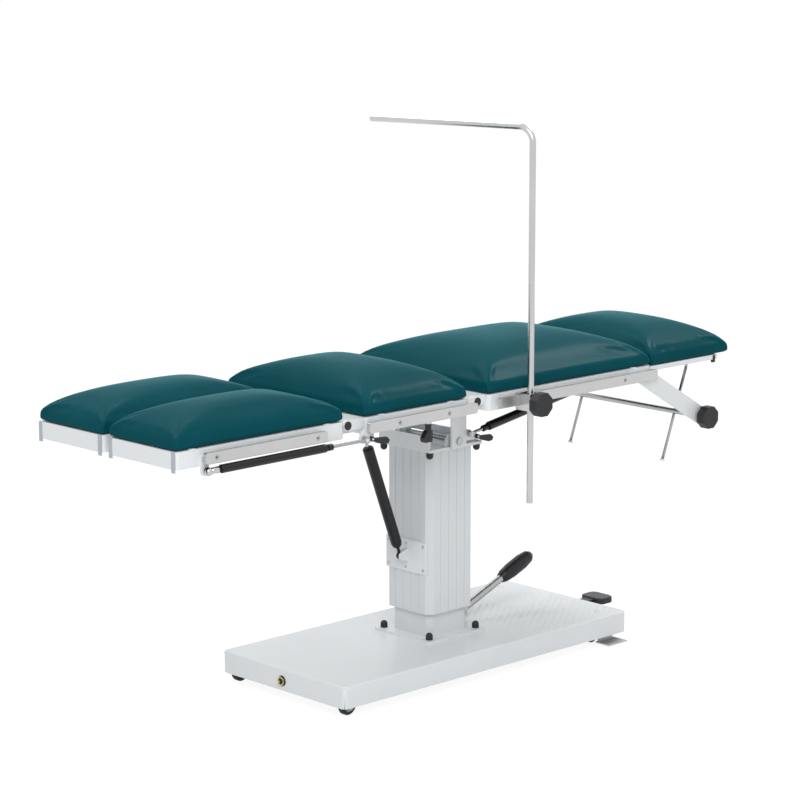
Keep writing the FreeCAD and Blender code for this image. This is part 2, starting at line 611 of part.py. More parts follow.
def outer_column():
    """The square tube that slides down over the inner one, grooved along its faces."""
    body = Piece(z="outer_bottom")
    half = "(outer_width / 2)"
    octagon(body.sketch("XY_Plane"), half, "outer_chamfer").pad("outer_top - outer_bottom")
    octagon(body.sketch("XY_Plane"), "(outer_width / 2 - tube_wall)", "(outer_chamfer - tube_wall / 2)")
    body.pocket()
    across_face = "groove_width / 2"
    for step in (-3, -1, 1, 3):
        middle = f"({step} * groove_pitch)"
        for sign in (-1, 1):
            face = f"({sign} * {half})"
            floor = f"({sign} * ({half} - groove_depth))"
            edge = f"({sign} * ({half} + 1))"
            body.sketch("XY_Plane").rectangle(f"{middle} - {across_face}", f"{middle} + {across_face}",
                                              floor, edge).pocket()
            body.sketch("XY_Plane").rectangle(floor, edge, f"{middle} - {across_face}",
                                              f"{middle} + {across_face}").pocket()
    # guide pads at the mouth, running on the inner tube
    pads = []
    inner_face = "(inner_width / 2 + guide_gap)"
    depth = f"({half} - tube_wall / 2 - {inner_face})"
    for sign in (-1, 1):
        low = inner_face if sign > 0 else f"-{inner_face} - {depth}"
        pads.append(box(depth, "guide_width", "guide_height", low, "-guide_width / 2", "outer_bottom"))
        pads.append(box("guide_width", depth, "guide_height", "-guide_width / 2", low, "outer_bottom"))
    node("outer_column", fuse(body.body, *pads))


def column_head():
    """The plate on the outer column, its foot wall and the ears that hold the tilt shaft."""
    plate = Piece(z="outer_top")
    x = "(head_plate_length / 2)"
    y = "(head_plate_width / 2)"
    plate.sketch("XY_Plane").rectangle(f"-{x}", x, f"-{y}", y).pad("head_plate_thick")
    plate.fillet("flange_corner", upright)
    for i in (-1, 1):
        for j in (-1, 1):
            plate.sketch("XY_Plane").circle(f"{i} * bolt_spread / 2", f"{j} * bolt_spread / 2",
                                            "bolt_radius").pocket()
    wall = box("plate_thick", "head_plate_width - 2 * flange_corner", f"foot_wall_top - {HEAD_TOP}", f"-{x}",
               f"flange_corner - {y}", HEAD_TOP)
    ears = []
    for side in (-1, 1):
        ear = Piece(y=f"{side} * (ear_face - plate_thick / 2)")
        ear.sketch("XZ_Plane").polygon(
            ("-ear_foot_x", HEAD_TOP), ("ear_head_x", HEAD_TOP), ("ear_head_x", "ear_top - 4"),
            ("ear_head_x - 4", "ear_top"), ("-ear_foot_x + 12", "ear_top"),
            ("-ear_foot_x", "ear_top - 14"))
        ear.pad("plate_thick", both=True)
        ears.append(ear.body)
    bore = cylinder("shaft_radius", "2 * ear_face + 2", "0", "-ear_face - 1", "shaft_z", ALONG_Y)
    node("column_head", cut(fuse(plate.body, wall, *ears), bore))
    node("column_head_caps", dome_caps("outer_top", -1))
    out = "(cheek_plane + plate_thick)"
    shaft = cylinder("shaft_radius", f"2 * {out}", "0", f"-{out}", "shaft_z", ALONG_Y)
    ends = [cylinder("shaft_radius + 4", "4", "0", y, "shaft_z", ALONG_Y)
            for y in (f"-{out} - side_gap - 4", f"{out} + side_gap")]
    necks = [cylinder("shaft_radius - 1", "side_gap + 0.1", "0", y, "shaft_z", ALONG_Y)
             for y in (f"-{out} - side_gap - 0.05", f"{out} - 0.05")]
    node("tilt_shaft", fuse(shaft, *ends, *necks))


def tilt_spring_plate():
    """The plate screwed to the column's foot face, with the clevis of the tilt spring."""
    face = "(outer_width / 2)"
    body = Piece()
    half = "(spring_plate_width / 2)"
    body.sketch("YZ_Plane", f"-{face} - spring_plate_thick")
    body.rectangle(f"-{half}", half, "spring_plate_z - spring_plate_height / 2",
                   "spring_plate_z + spring_plate_height / 2").pad("spring_plate_thick")
    for column in (-1, 0, 1):
        for row in (-1, 1):
            body.sketch("YZ_Plane", f"-{face} - spring_plate_thick")
            body.circle(f"{column} * plate_screw_pitch", f"spring_plate_z + {row} * plate_screw_rise / 2",
                        "screw_radius").pocket("spring_plate_thick + 1", back=True)
    root = f"(-{face} - spring_plate_thick)"
    gap = "(eye_thick / 2 + side_gap)"
    cheeks = []
    for side in (-1, 1):
        cheek = Piece(y=f"{side} * ({gap} + cheek_thick / 2)")
        cheek.sketch("XZ_Plane").polygon(
            (root, "tilt_spring_low_z - 16"), ("-tilt_spring_low_x - 3", "tilt_spring_low_z - 10"),
            ("-tilt_spring_low_x - 10", "tilt_spring_low_z - 4"),
            ("-tilt_spring_low_x - 10", "tilt_spring_low_z + 5"),
            ("-tilt_spring_low_x - 4", "tilt_spring_low_z + 10"), (root, "tilt_spring_low_z + 16"))
        cheek.pad("cheek_thick", both=True)
        cheeks.append(cheek.body)
    pin = cylinder("spring_pin_radius", f"2 * ({gap} + cheek_thick) + 4", "-tilt_spring_low_x",
                   f"-{gap} - cheek_thick - 2", "tilt_spring_low_z", ALONG_Y)
    node("tilt_spring_plate", fuse(body.body, *cheeks, pin))


def tilt_cradle():
    """Cheeks that hang on the tilt shaft, the web between them and the beams under the seat."""
    parts = []
    top = FRAME_BOTTOM
    for side in (-1, 1):
        beam = box("beam_foot_x + beam_head_x", "beam_width", "beam_height", "-beam_foot_x",
                   f"{side} * beam_y - beam_width / 2", f"{top} - beam_height")
        hollow = box("beam_foot_x + beam_head_x + 2", "beam_width - 2 * beam_wall",
                     "beam_height - 2 * beam_wall", "-beam_foot_x - 1",
                     f"{side} * beam_y - beam_width / 2 + beam_wall",
                     f"{top} - beam_height + beam_wall")
        parts.append(cut(beam, hollow))
        cheek = box("cheek_width", "plate_thick", f"{top} - beam_height - cheek_bottom",
                    "-cheek_width / 2",
                    f"{side} * (cheek_plane + plate_thick / 2) - plate_thick / 2", "cheek_bottom")
        parts.append(cheek)
    web = box("plate_thick", "2 * cheek_plane", "web_top - web_bottom",
              "cheek_width / 2 - plate_thick", "-cheek_plane", "web_bottom")
    tie = box("tie_width", "2 * beam_y - beam_width", "beam_height",
              "-tilt_spring_high_x - tie_width / 2", "beam_width / 2 - beam_y", f"{top} - beam_height")
    # the hanger beside the tilt spring's upper eye
    hanger = Piece(y="eye_thick / 2 + side_gap + 2 + cheek_thick / 2")
    hanger.sketch("XZ_Plane").polygon(
        ("-tilt_spring_high_x - 10", f"{top} - beam_height"),
        ("-tilt_spring_high_x - 8", "tilt_spring_high_z - 4"),
        ("-tilt_spring_high_x - 4", "tilt_spring_high_z - 9"),
        ("-tilt_spring_high_x + 4", "tilt_spring_high_z - 9"),
        ("-tilt_spring_high_x + 8", "tilt_spring_high_z - 4"),
        ("-tilt_spring_high_x + 10", f"{top} - beam_height"))
    hanger.pad("cheek_thick", both=True)
    # the near cheek's arm out to the back spring's lower pin and its release paddle
    arm = Piece(y="-cheek_plane - plate_thick / 2")
    arm.sketch("XZ_Plane").polygon(
        ("0", "back_spring_low_z + 14"), ("0", "back_release_z - 6"),
        ("back_release_x", "back_release_z - 7"), ("back_release_x + 7", "back_release_z - 3"),
        ("back_release_x + 7", "back_release_z + 3"), ("back_release_x", "back_release_z + 7"),
        ("back_spring_low_x + 8", "back_spring_low_z + 3"),
        ("back_spring_low_x + 4", "back_spring_low_z + 9"))
    arm.pad("plate_thick", both=True)
    reach = "(back_spring_y + eye_thick / 2 + 1 - cheek_plane)"
    pin = cylinder("spring_pin_radius", reach, "back_spring_low_x", f"-cheek_plane - {reach}",
                   "back_spring_low_z", ALONG_Y)
    reach = "(plate_thick + side_gap + paddle_thick + 1)"
    stub = cylinder("release_pin_radius", reach, "back_release_x", f"-cheek_plane - {reach}",
                    "back_release_z", ALONG_Y)
    bore = cylinder("shaft_radius + running_gap", "2 * cheek_plane + 4 * plate_thick", "0",
                    "-cheek_plane - 2 * plate_thick", "shaft_z", ALONG_Y)
    node("tilt_cradle", cut(fuse(*parts, web, tie, hanger.body, arm.body, pin, stub), bore))


def channel_frame(x0, x1, y0, y1):
    """A mitred frame of channel that opens inwards, with rounded outer corners."""
    body = Piece(z=FRAME_BOTTOM)
    body.sketch("XY_Plane").rectangle(x0, x1, y0, y1).pad("frame_height")
    body.fillet("frame_corner", upright)
    wide = "profile_width"
    body.sketch("XY_Plane").rectangle(f"{x0} + {wide}", f"{x1} - {wide}", f"{y0} + {wide}",
                                      f"{y1} - {wide}").pocket()
    wall = "profile_wall"
    body.sketch("XY_Plane", wall).rectangle(f"{x0} + {wall}", f"{x1} - {wall}", f"{y0} + {wall}",
                                            f"{y1} - {wall}")
    body.pocket("frame_height - 2 * profile_wall", back=True)
    return body.body


def lug(face_x, hinge_x, low_y, thick, radius):
    """A flat lug from a frame's end face to a hinge line, with a round end."""
    arm = Piece(y=f"{low_y} + {thick} / 2")
    arm.sketch("XZ_Plane").rectangle(face_x, hinge_x, f"hinge_z - {radius}", f"hinge_z + {radius}")
    arm.pad(thick, both=True)
    end = cylinder(radius, thick, hinge_x, low_y, "hinge_z", ALONG_Y)
    return arm.body, end


def hinge_sides():
    """The low Y of the seat's lug and of the mating ear at each leg hinge, and at the back's."""
    outer_lug = [("-lug_plane", "-lug_plane + lug_thick + side_gap"),
                 ("lug_plane - lug_thick", "lug_plane - lug_thick - side_gap - ear_thick")]
    inner_lug = [("-inner_lug_plane - lug_thick", "-inner_lug_plane - lug_thick - side_gap - ear_thick"),
                 ("inner_lug_plane", "inner_lug_plane + lug_thick + side_gap")]
    return outer_lug, inner_lug


def seat_frame():
    outer, inner = hinge_sides()
    parts = [channel_frame("-seat_foot_x", "-seat_head_x", "-frame_width / 2", "frame_width / 2")]
    for low, _ in outer + inner:
        parts.extend(lug("-seat_foot_x", "-leg_hinge_x", f"({low})", "lug_thick", "lug_radius"))
    for low, _ in outer:
        parts.extend(lug("-seat_head_x", "-back_hinge_x", f"({low})", "lug_thick", "lug_radius"))
    for side in (-1, 1):
        face = f"({side} * frame_width / 2)"
        plate = Piece(y=f"{face} + {side} * bracket_thick / 2")
        plate.sketch("XZ_Plane").polygon(
            ("-release_x + 12", f"{FRAME_BOTTOM} + 14"), ("-seat_foot_x - 8", f"{FRAME_BOTTOM} + 14"),
            ("-leg_spring_seat_x - 8", "leg_spring_seat_z + 4"),
            ("-leg_spring_seat_x - 6", "leg_spring_seat_z - 8"),
            ("-release_x - 4", "release_z - 8"), ("-release_x + 8", "release_z - 6"))
        plate.pad("bracket_thick", both=True)
        reach = "(leg_spring_y + eye_thick / 2 + 1 - frame_width / 2)"
        low = f"{face}" if side > 0 else f"{face} - {reach}"
        pin = cylinder("spring_pin_radius", reach, "-leg_spring_seat_x", low, "leg_spring_seat_z",
                       ALONG_Y)
        short = "(bracket_thick + side_gap + paddle_thick + 1)"
        low = f"{face}" if side > 0 else f"{face} - {short}"
        stub = cylinder("release_pin_radius", short, "-release_x", low, "release_z", ALONG_Y)
        parts.extend((plate.body, pin, stub))
    bores = [cylinder("hinge_pin_radius", "frame_width", x, "-frame_width / 2", "hinge_z", ALONG_Y)
             for x in ("-leg_hinge_x", "-back_hinge_x")]
    # the socket under the near side of the frame where the tilt release handle hangs
    ring = cylinder("handle_stem_radius", "handle_socket", "-handle_x", "-handle_y",
                    f"{FRAME_BOTTOM} - handle_socket")
    bore = cylinder("release_pin_radius + running_gap", "handle_socket + 2", "-handle_x",
                    "-handle_y", f"{FRAME_BOTTOM} - handle_socket - 1")
    node("seat_frame", cut(fuse(*parts, ring), *bores, bore))
    node("seat_rails", group(*[rail("-seat_rail_x", "seat_rail_length", "seat_screw_spread", side)
                               for side in (-1, 1)]))
    node("seat_cushion", crowned("-seat_foot_x + cushion_overlap", "-seat_head_x - cushion_overlap",
                                 "cushion_overlap - frame_width / 2",
                                 "frame_width / 2 - cushion_overlap", "deck_z", "seat_crown"))
    tilt_handle()


def tilt_handle():
    """The release handle of the tilt: a stem that swivels in its socket, flared into a grip."""
    body = Piece("-handle_x", "-handle_y", f"{FRAME_BOTTOM} - handle_socket - side_gap")
    stem = "handle_stem_radius"
    body.sketch("XY_Plane").circle("0", "0", stem).pad("handle_length - 2", back=True)
    body.sketch("XZ_Plane").polygon(
        (stem, "-handle_grip_start"), (stem, "-handle_length"),
        ("-handle_grip_reach + 4", "-handle_length"), ("-handle_grip_reach", "4 - handle_length"),
        ("-handle_grip_reach", "12 - handle_length"), (f"-{stem}", "-handle_grip_start"))
    body.pad(f"2 * {stem} - 2", both=True)
    body.sketch("XY_Plane").circle("0", "0", "release_pin_radius").pad("handle_socket")
    node("tilt_handle", body.body)


def hinge_pins():
    """The pins of the leg hinges and of the back hinges, fast in the seat's lugs."""
    solids = []
    span = "(lug_thick + side_gap + ear_thick)"
    for x, lines in (("-leg_hinge_x", 2), ("-back_hinge_x", 1)):
        for side in (-1, 1):
            low = f"-lug_plane" if side < 0 else f"lug_plane - {span}"
            cap = "-lug_plane - hinge_cap_thick" if side < 0 else "lug_plane"
            shaft = cylinder("hinge_pin_radius", span, x, low, "hinge_z", ALONG_Y)
            disc = cylinder("hinge_cap_radius", "hinge_cap_thick", x, cap, "hinge_z", ALONG_Y)
            solids.append(fuse(shaft, disc))
            if lines == 2:
                low = f"-inner_lug_plane - {span}" if side < 0 else "inner_lug_plane"
                cap = "-inner_lug_plane" if side < 0 else "inner_lug_plane - hinge_cap_thick"
                shaft = cylinder("hinge_pin_radius", span, x, low, "hinge_z", ALONG_Y)
                disc = cylinder("hinge_cap_radius", "hinge_cap_thick", x, cap, "hinge_z", ALONG_Y)
                solids.append(fuse(shaft, disc))
    node("hinge_pins", group(*solids))


def rail(x, length, spread, side):
    """An accessory rail 25 by 10, on two bosses, with countersunk holes."""
    inner = f"({side} * (frame_width / 2 + rail_gap))"
    body = Piece(x=x, y=f"{inner} + {side} * rail_thick / 2", z="rail_z")
    body.sketch("XZ_Plane").rectangle(f"-{length} / 2", f"{length} / 2", "-rail_height / 2",
                                      "rail_height / 2").pad("rail_thick", both=True)
    body.fillet("rail_corner", across)
    parts = [body.body]
    bores = []
    for end in (-1, 1):
        at = f"{x} + {end} * {spread} / 2"
        low = f"{inner} - {side} * rail_gap" if side > 0 else inner
        parts.append(cylinder("boss_radius", "rail_gap", at, low, "rail_z", ALONG_Y))
        low = f"{side} * (frame_width / 2 + rail_gap + rail_thick) - sink_radius / 4"
        bores.append(cylinder("sink_radius", "sink_radius / 2", at, low, "rail_z", ALONG_Y))
    return cut(fuse(*parts), *bores)


def crowned(x0, x1, y0, y1, bottom, crown):
    """A cushion: a block cut by a wide arch along the table and a gentler one across it."""
    length = f"({x1} - ({x0}))"
    width = f"({y1} - ({y0}))"
    rise = f"({crown} - cushion_edge)"
    block = Piece(z=bottom)
    block.sketch("XY_Plane").rectangle(x0, x1, y0, y1).pad(crown)
    block.fillet("cushion_corner", upright)
    radius = f"({length} * {length} / (8 * {rise}) + {rise} / 2)"
    arch = cylinder(radius, f"{width} + 2", f"({x0} + {x1}) / 2", f"{y0} - 1",
                    f"{bottom} + {crown} - {radius}", ALONG_Y)
    radius = f"({width} * {width} / (8 * cross_crown) + cross_crown / 2)"
    vault = cylinder(radius, f"{length} + 2", f"{x0} - 1", f"({y0} + {y1}) / 2",
                     f"{bottom} + {crown} - {radius}", ALONG_X)
    return common(block.body, arch, vault)


def gas_spring(x0, z0, x1, z1, y, start, end, radius, rod_end, eye, stand_off):
    """A gas spring from its rod's eye to its cylinder's eye, drawn along local X."""
    pitch = f"(-1) * atan2({z1} - ({z0}); {x1} - ({x0})) / 1deg"
    span = f"(hypot({x1} - ({x0}); {z1} - ({z0})))"
    rod = Piece(x0, y, z0, Y_AXIS, pitch)
    rod.sketch("XZ_Plane").circle("0", "0", eye).pad("eye_thick", both=True)
    rod.sketch("YZ_Plane").circle("0", "0", "rod_radius").pad(rod_end)
    rod.sketch("XZ_Plane").circle("0", "0", "spring_pin_radius + running_gap").pocket()
    tube = Piece(x0, y, z0, Y_AXIS, pitch)
    neck = f"({start} - collar_length)"
    tube.sketch("XZ_Plane").polygon(
        (neck, "rod_radius + running_gap"), (neck, "collar_radius - 1"),
        (f"{neck} + 1", "collar_radius"), (f"{start} - 6", "collar_radius"),
        (f"{start} - 5", "collar_radius - 2"), (start, "collar_radius - 2"),
        (start, f"{radius} - 2"), (f"{start} + 2", radius), (f"{end} - 2", radius),
        (end, f"{radius} - 2"), (end, "rod_radius"), (f"{span} - {eye} / 2", "rod_radius"),
        (f"{span} - {eye} / 2", "0"), (f"{end} - bore_end", "0"),
        (f"{end} - bore_end", "rod_radius + running_gap"))
    tube.revolve("H_Axis")
    tube.sketch("XZ_Plane").circle(span, "0", eye).pad("eye_thick", both=True)
    # the pin of the far pivot: fast in the eye, it stops just short of its bracket
    tube.sketch("XZ_Plane", f"-eye_thick / 2 - {stand_off}").circle(span, "0", "spring_pin_radius")
    tube.pad(f"eye_thick + {stand_off}")
    return rod.body, tube.body


def tilt_spring():
    """The tilt's gas spring: a stout cylinder on the column's clevis, its rod up to the seat."""
    x0, z0 = "(-tilt_spring_high_x)", "tilt_spring_high_z"
    x1, z1 = "(-tilt_spring_low_x)", "tilt_spring_low_z"
    pitch = f"(-1) * atan2({z1} - {z0}; {x1} - {x0}) / 1deg"
    span = f"(hypot({x1} - {x0}; {z1} - {z0}))"
    rod = Piece(x0, "0", z0, Y_AXIS, pitch)
    rod.sketch("XZ_Plane").circle("0", "0", "eye_radius").pad("eye_thick", both=True)
    rod.sketch("YZ_Plane").circle("0", "0", "rod_radius").pad("tilt_rod_end")
    # the pin of the upper pivot stops just short of the hanger
    rod.sketch("XZ_Plane", "-eye_thick / 2 - 2").circle("0", "0", "spring_pin_radius")
    rod.pad("eye_thick + 2")
    node("tilt_spring_rod", rod.body)
    tube = Piece(x0, "0", z0, Y_AXIS, pitch)
    start, end, radius = "tilt_cylinder_start", "tilt_cylinder_end", "tilt_cylinder_radius"
    bore = "rod_radius + running_gap"
    tube.sketch("XZ_Plane").polygon(
        (start, bore), (start, f"{radius} - 3"), (f"{start} + 3", radius), (f"{end} - 14", radius),
        (f"{end} - 6", f"{radius} * 0.85"), (f"{end} - 1", f"{radius} * 0.55"),
        (end, "rod_radius"), (f"{span} - eye_radius / 2", "rod_radius"),
        (f"{span} - eye_radius / 2", "0"), (f"{end} - bore_end", "0"), (f"{end} - bore_end", bore))
    tube.revolve("H_Axis")
    tube.sketch("XZ_Plane").circle(span, "0", "eye_radius").pad("eye_thick", both=True)
    tube.sketch("XZ_Plane").circle(span, "0", "spring_pin_radius + running_gap").pocket()
    node("tilt_spring_cylinder", tube.body)


def leg_spring(prefix, side):
    y = f"({side} * leg_spring_y)"
    reach = "(leg_spring_y - frame_width / 2 - bracket_thick - eye_thick / 2 - side_gap)"
    rod, tube = gas_spring("-leg_spring_seat_x", "leg_spring_seat_z", "-leg_spring_foot_x",
                           "leg_spring_foot_z", y, "leg_cylinder_start", "leg_cylinder_end",
                           "leg_cylinder_radius", "leg_rod_end", "eye_radius", reach)
    if side > 0:
        # on the far side the bracket is on the other side of the eye
        tube = mirrored_across(tube, y)
    node(f"{prefix}_leg_spring_rod", rod)
    node(f"{prefix}_leg_spring_cylinder", tube)
    paddle("-release_x", f"{side} * (frame_width / 2 + bracket_thick + side_gap + paddle_thick / 2)",
           "release_z", f"{prefix}_leg_release")


def mirrored_across(thing, y):
    """The thing reflected in the plane at that Y."""
    mirror = doc.addObject("Part::Mirroring", "mirrored")
    mirror.Source = thing
    mirror.Normal = Y_AXIS
    bind(mirror, ".Base.y", y)
    return mirror


def paddle(x, y, z, label):
    """A release paddle: a short arm from its pivot and a flat oval pad."""
    body = Piece(x, y, z)
    body.sketch("XZ_Plane").circle("0", "0", "paddle_height / 3").pad("paddle_thick", both=True)
    body.sketch("XZ_Plane").polygon(
        ("0", "3"), ("0", "-3"), ("paddle_arm", "-paddle_height * 0.62"),
        ("paddle_arm + paddle_length * 0.6", "-paddle_height"),
        ("paddle_arm + paddle_length * 0.9", "-paddle_height * 0.9"),
        ("paddle_arm + paddle_length", "-paddle_height * 0.5"),
        ("paddle_arm + paddle_length * 0.8", "-paddle_height * 0.05"), ("paddle_arm", "1"))
    body.pad("paddle_thick", both=True)
    body.sketch("XZ_Plane").circle("0", "0", "release_pin_radius + running_gap").pocket()
    node(label, body.body)


def back_spring():
    rod, tube = gas_spring("back_spring_low_x", "back_spring_low_z", "back_spring_high_x",
                           "back_spring_high_z", "-back_spring_y", "back_cylinder_start",
                           "back_cylinder_end", "back_cylinder_radius", "back_rod_end",
                           "back_eye_radius", "1")
    node("back_spring_rod", rod)
    node("back_spring_cylinder", tube)
    paddle("back_release_x", "-cheek_plane - plate_thick - side_gap - paddle_thick / 2",
           "back_release_z", "back_release")


def leg_section(prefix, side):
    near = ("-frame_width / 2", "-leg_gap / 2")
    far = ("leg_gap / 2", "frame_width / 2")
    low, high = near if side < 0 else far
    outer, inner = hinge_sides()
    row = 0 if side < 0 else 1
    parts = [channel_frame("-leg_foot_x", "-leg_end_x", low, high)]
    for _, ear in (outer[row], inner[row]):
        parts.extend(lug("-leg_end_x", "-leg_hinge_x", f"({ear})", "ear_thick", "(lug_radius - 1)"))
    face = f"({side} * frame_width / 2)"
    plate = Piece(y=f"{face} + {side} * bracket_thick / 2")
    middle = "(-leg_spring_foot_x)"
    plate.sketch("XZ_Plane").polygon(
        (f"{middle} - bracket_half", f"{FRAME_BOTTOM} + 24"),
        (f"{middle} - bracket_half", f"{FRAME_BOTTOM} + 2"), (f"{middle} - 9", "leg_spring_foot_z - 8"),
        (f"{middle} - 4", "leg_spring_foot_z - 12"), (f"{middle} + 4", "leg_spring_foot_z - 12"),
        (f"{middle} + 9", "leg_spring_foot_z - 8"), (f"{middle} + bracket_half", f"{FRAME_BOTTOM} + 2"),
        (f"{middle} + bracket_half", f"{FRAME_BOTTOM} + 24"))
    plate.pad("bracket_thick", both=True)
    parts.append(plate.body)
    bore = cylinder("hinge_pin_radius + running_gap", "frame_width", "-leg_hinge_x",
                    "-frame_width / 2", "hinge_z", ALONG_Y)
    node(f"{prefix}_leg_frame", cut(fuse(*parts), bore))
    node(f"{prefix}_leg_rail", rail("-leg_rail_x", "leg_rail_length", "leg_screw_spread", side))
    node(f"{prefix}_leg_cushion", crowned("-leg_foot_x + cushion_overlap", "-leg_end_x - cushion_overlap",
                                          f"{low} + cushion_overlap", f"{high} - cushion_overlap",
                                          "deck_z", "leg_crown"))


def back_section():
    outer, _ = hinge_sides()
    parts = [channel_frame("-back_foot_x", "back_head_x", "-frame_width / 2", "frame_width / 2")]
    for _, ear in outer:
        parts.extend(lug("-back_foot_x", "-back_hinge_x", f"({ear})", "ear_thick", "lug_radius"))
    # the cross bar that holds the upper bracket of the back spring
    x = "back_spring_high_x"
    cross = box("tie_width", "frame_width - 2 * profile_wall", "profile_wall * 2",
                f"{x} - tie_width / 2", "profile_wall - frame_width / 2", FRAME_BOTTOM)
    plate = Piece(y="-back_spring_y + eye_thick / 2 + 1 + side_gap + cheek_thick / 2")
    plate.sketch("XZ_Plane").polygon(
        (f"{x} - 11", f"{FRAME_BOTTOM} + 4"), (f"{x} - 9", "back_spring_high_z - 4"),
        (f"{x} - 5", "back_spring_high_z - 9"), (f"{x} + 5", "back_spring_high_z - 9"),
        (f"{x} + 9", "back_spring_high_z - 4"), (f"{x} + 11", f"{FRAME_BOTTOM} + 4"))
    plate.pad("cheek_thick", both=True)
    bore = cylinder("hinge_pin_radius + running_gap", "frame_width", "-back_hinge_x",
                    "-frame_width / 2", "hinge_z", ALONG_Y)
    node("back_frame", cut(fuse(*parts, cross, plate.body), bore))
    rails = [rail("back_rail_x", "back_rail_length", "back_screw_spread", side) for side in (-1, 1)]
    node("back_rails", group(*rails))
    node("back_cushion", crowned("-back_foot_x + cushion_overlap", "back_head_x + cushion_overlap",
                                 "cushion_overlap - frame_width / 2", "frame_width / 2 - cushion_overlap",
                                 "deck_z", "back_crown"))


def head_arm(label, side):
    """A flat arm on the outside of the back frame that bends down to the crossbar."""
    along = "(arm_width / 2 * sin(arm_slope * 1deg))"
    down = "(arm_width / 2 * cos(arm_slope * 1deg))"
    body = Piece(y=f"{side} * (arm_plane - arm_thick / 2)")
    top = "(deck_z - 2)"
    foot = f"({FRAME_BOTTOM} + 2)"
    slope = "tan(arm_slope * 1deg)"
    upper = f"(crossbar_x + {along} - ({top} - crossbar_z - {down}) / {slope})"
    lower = f"(crossbar_x - {along} - ({foot} - crossbar_z + {down}) / {slope})"
    body.sketch("XZ_Plane").polygon(
        ("arm_root_x", foot), (lower, foot), (f"crossbar_x - {along}", f"crossbar_z - {down}"),
        (f"crossbar_x + {along}", f"crossbar_z + {down}"), (upper, top), ("arm_root_x", top))
    body.pad("arm_thick", both=True)
    low = f"{side} * (arm_plane - arm_thick / 2) - arm_thick / 2"
    end = cylinder("arm_width / 2", "arm_thick", "crossbar_x", low, "crossbar_z", ALONG_Y)
    bore = cylinder("crossbar_radius + running_gap", "arm_thick + 2", "crossbar_x", f"{low} - 1",
                    "crossbar_z", ALONG_Y)
    hole = cylinder("screw_radius", "arm_thick + 2",
                    f"crossbar_x - {along}", f"{low} - 1",
                    f"crossbar_z + {down}", ALONG_Y)
    node(label, cut(fuse(body.body, end), bore, hole))


def head_section():
    """The crossbar between the arms, and the head frame on its two leaning rods."""
    out = "(arm_plane + 1)"
    bar = cylinder("crossbar_radius", f"2 * {out}", "crossbar_x", f"-{out}", "crossbar_z", ALONG_Y)
    far_cap = cylinder("crossbar_radius + 4", "6", "crossbar_x", out, "crossbar_z", ALONG_Y)
    holes = []
    for side in (-1, 1):
        hole = Piece("crossbar_x", f"{side} * head_rod_y", "crossbar_z", Y_AXIS, "head_rod_lean")
        hole.sketch("XY_Plane").circle("0", "0", "head_rod_radius + running_gap")
        hole.pad("4 * crossbar_radius", both=True)
        holes.append(hole.body)
    socket = cylinder("stud_radius + running_gap", "stud_length + 1", "crossbar_x", f"-{out} - 1",
                      "crossbar_z", ALONG_Y)
    node("head_crossbar", cut(fuse(bar, far_cap), socket, *holes))
    bottom = "(head_frame_z - head_bar_height)"
    wide = "head_bar_width"
    frame = Piece(z=bottom)
    frame.sketch("XY_Plane").rectangle("head_foot_x", "head_tip_x", "-head_half_width", "head_half_width")
    frame.pad("head_bar_height")
    frame.sketch("XY_Plane").rectangle(f"head_foot_x + {wide}", f"head_tip_x - 2 * {wide}",
                                       f"{wide} - head_half_width", f"head_half_width - {wide}").pocket()
    plugs = []
    rods = []
    for side in (-1, 1):
        low = f"{side} * (head_half_width - {wide} / 2) - {wide} / 2"
        plugs.append(box("plug_length", wide, "head_bar_height", "head_tip_x", low, bottom))
        rod = Piece("crossbar_x", f"{side} * head_rod_y", "crossbar_z", Y_AXIS, "head_rod_lean")
        rise = f"(({bottom} - crossbar_z + 2) / cos(head_rod_lean * 1deg))"
        rod.sketch("XY_Plane", "-head_rod_down").circle("0", "0", "head_rod_radius")
        rod.pad(f"head_rod_down + {rise}")
        rod.sketch("XY_Plane", "-head_rod_down").circle("0", "0", "rod_foot_radius")
        rod.pad("rod_foot_height")
        rods.append(rod.body)
    node("head_frame", fuse(frame.body, *plugs, *rods))
    node("head_cushion", crowned("head_cushion_foot_x", "head_cushion_tip_x", "-head_half_width",
                                 "head_half_width", "head_frame_z", "head_crown"))
    knob = Piece("crossbar_x", f"-{out}", "crossbar_z")
    octagon_knob(knob, "stud_length - side_gap", "stud_radius")
    node("head_knob", knob.body)


def octagon_knob(knob, depth, spindle):
    """An eight-sided grip facing the near side, on a round hub with a threaded spindle."""
    knob.sketch("XZ_Plane", "knob_gap").circle("0", "0", "knob_hub_radius").pad("knob_hub_length")
    flat = "(knob_radius * 0.924)"
    corner = "(knob_radius * 0.383)"
    knob.sketch("XZ_Plane", "knob_gap + knob_hub_length").polygon(
        (flat, f"-{corner}"), (flat, corner), (corner, flat), (f"-{corner}", flat),
        (f"-{flat}", corner), (f"-{flat}", f"-{corner}"), (f"-{corner}", f"-{flat}"),
        (corner, f"-{flat}"))
    knob.pad("knob_thick")
    knob.fillet("knob_edge", lambda edge: across(edge) and edge.Curve.TypeId == "Part::GeomLine"
                and max(abs(edge.BoundBox.XMax), abs(edge.BoundBox.ZMax)) > 0)
    knob.sketch("XZ_Plane", f"-({depth})").circle("0", "0", spindle)
    knob.pad(f"{depth} + knob_gap + knob_hub_length / 2")


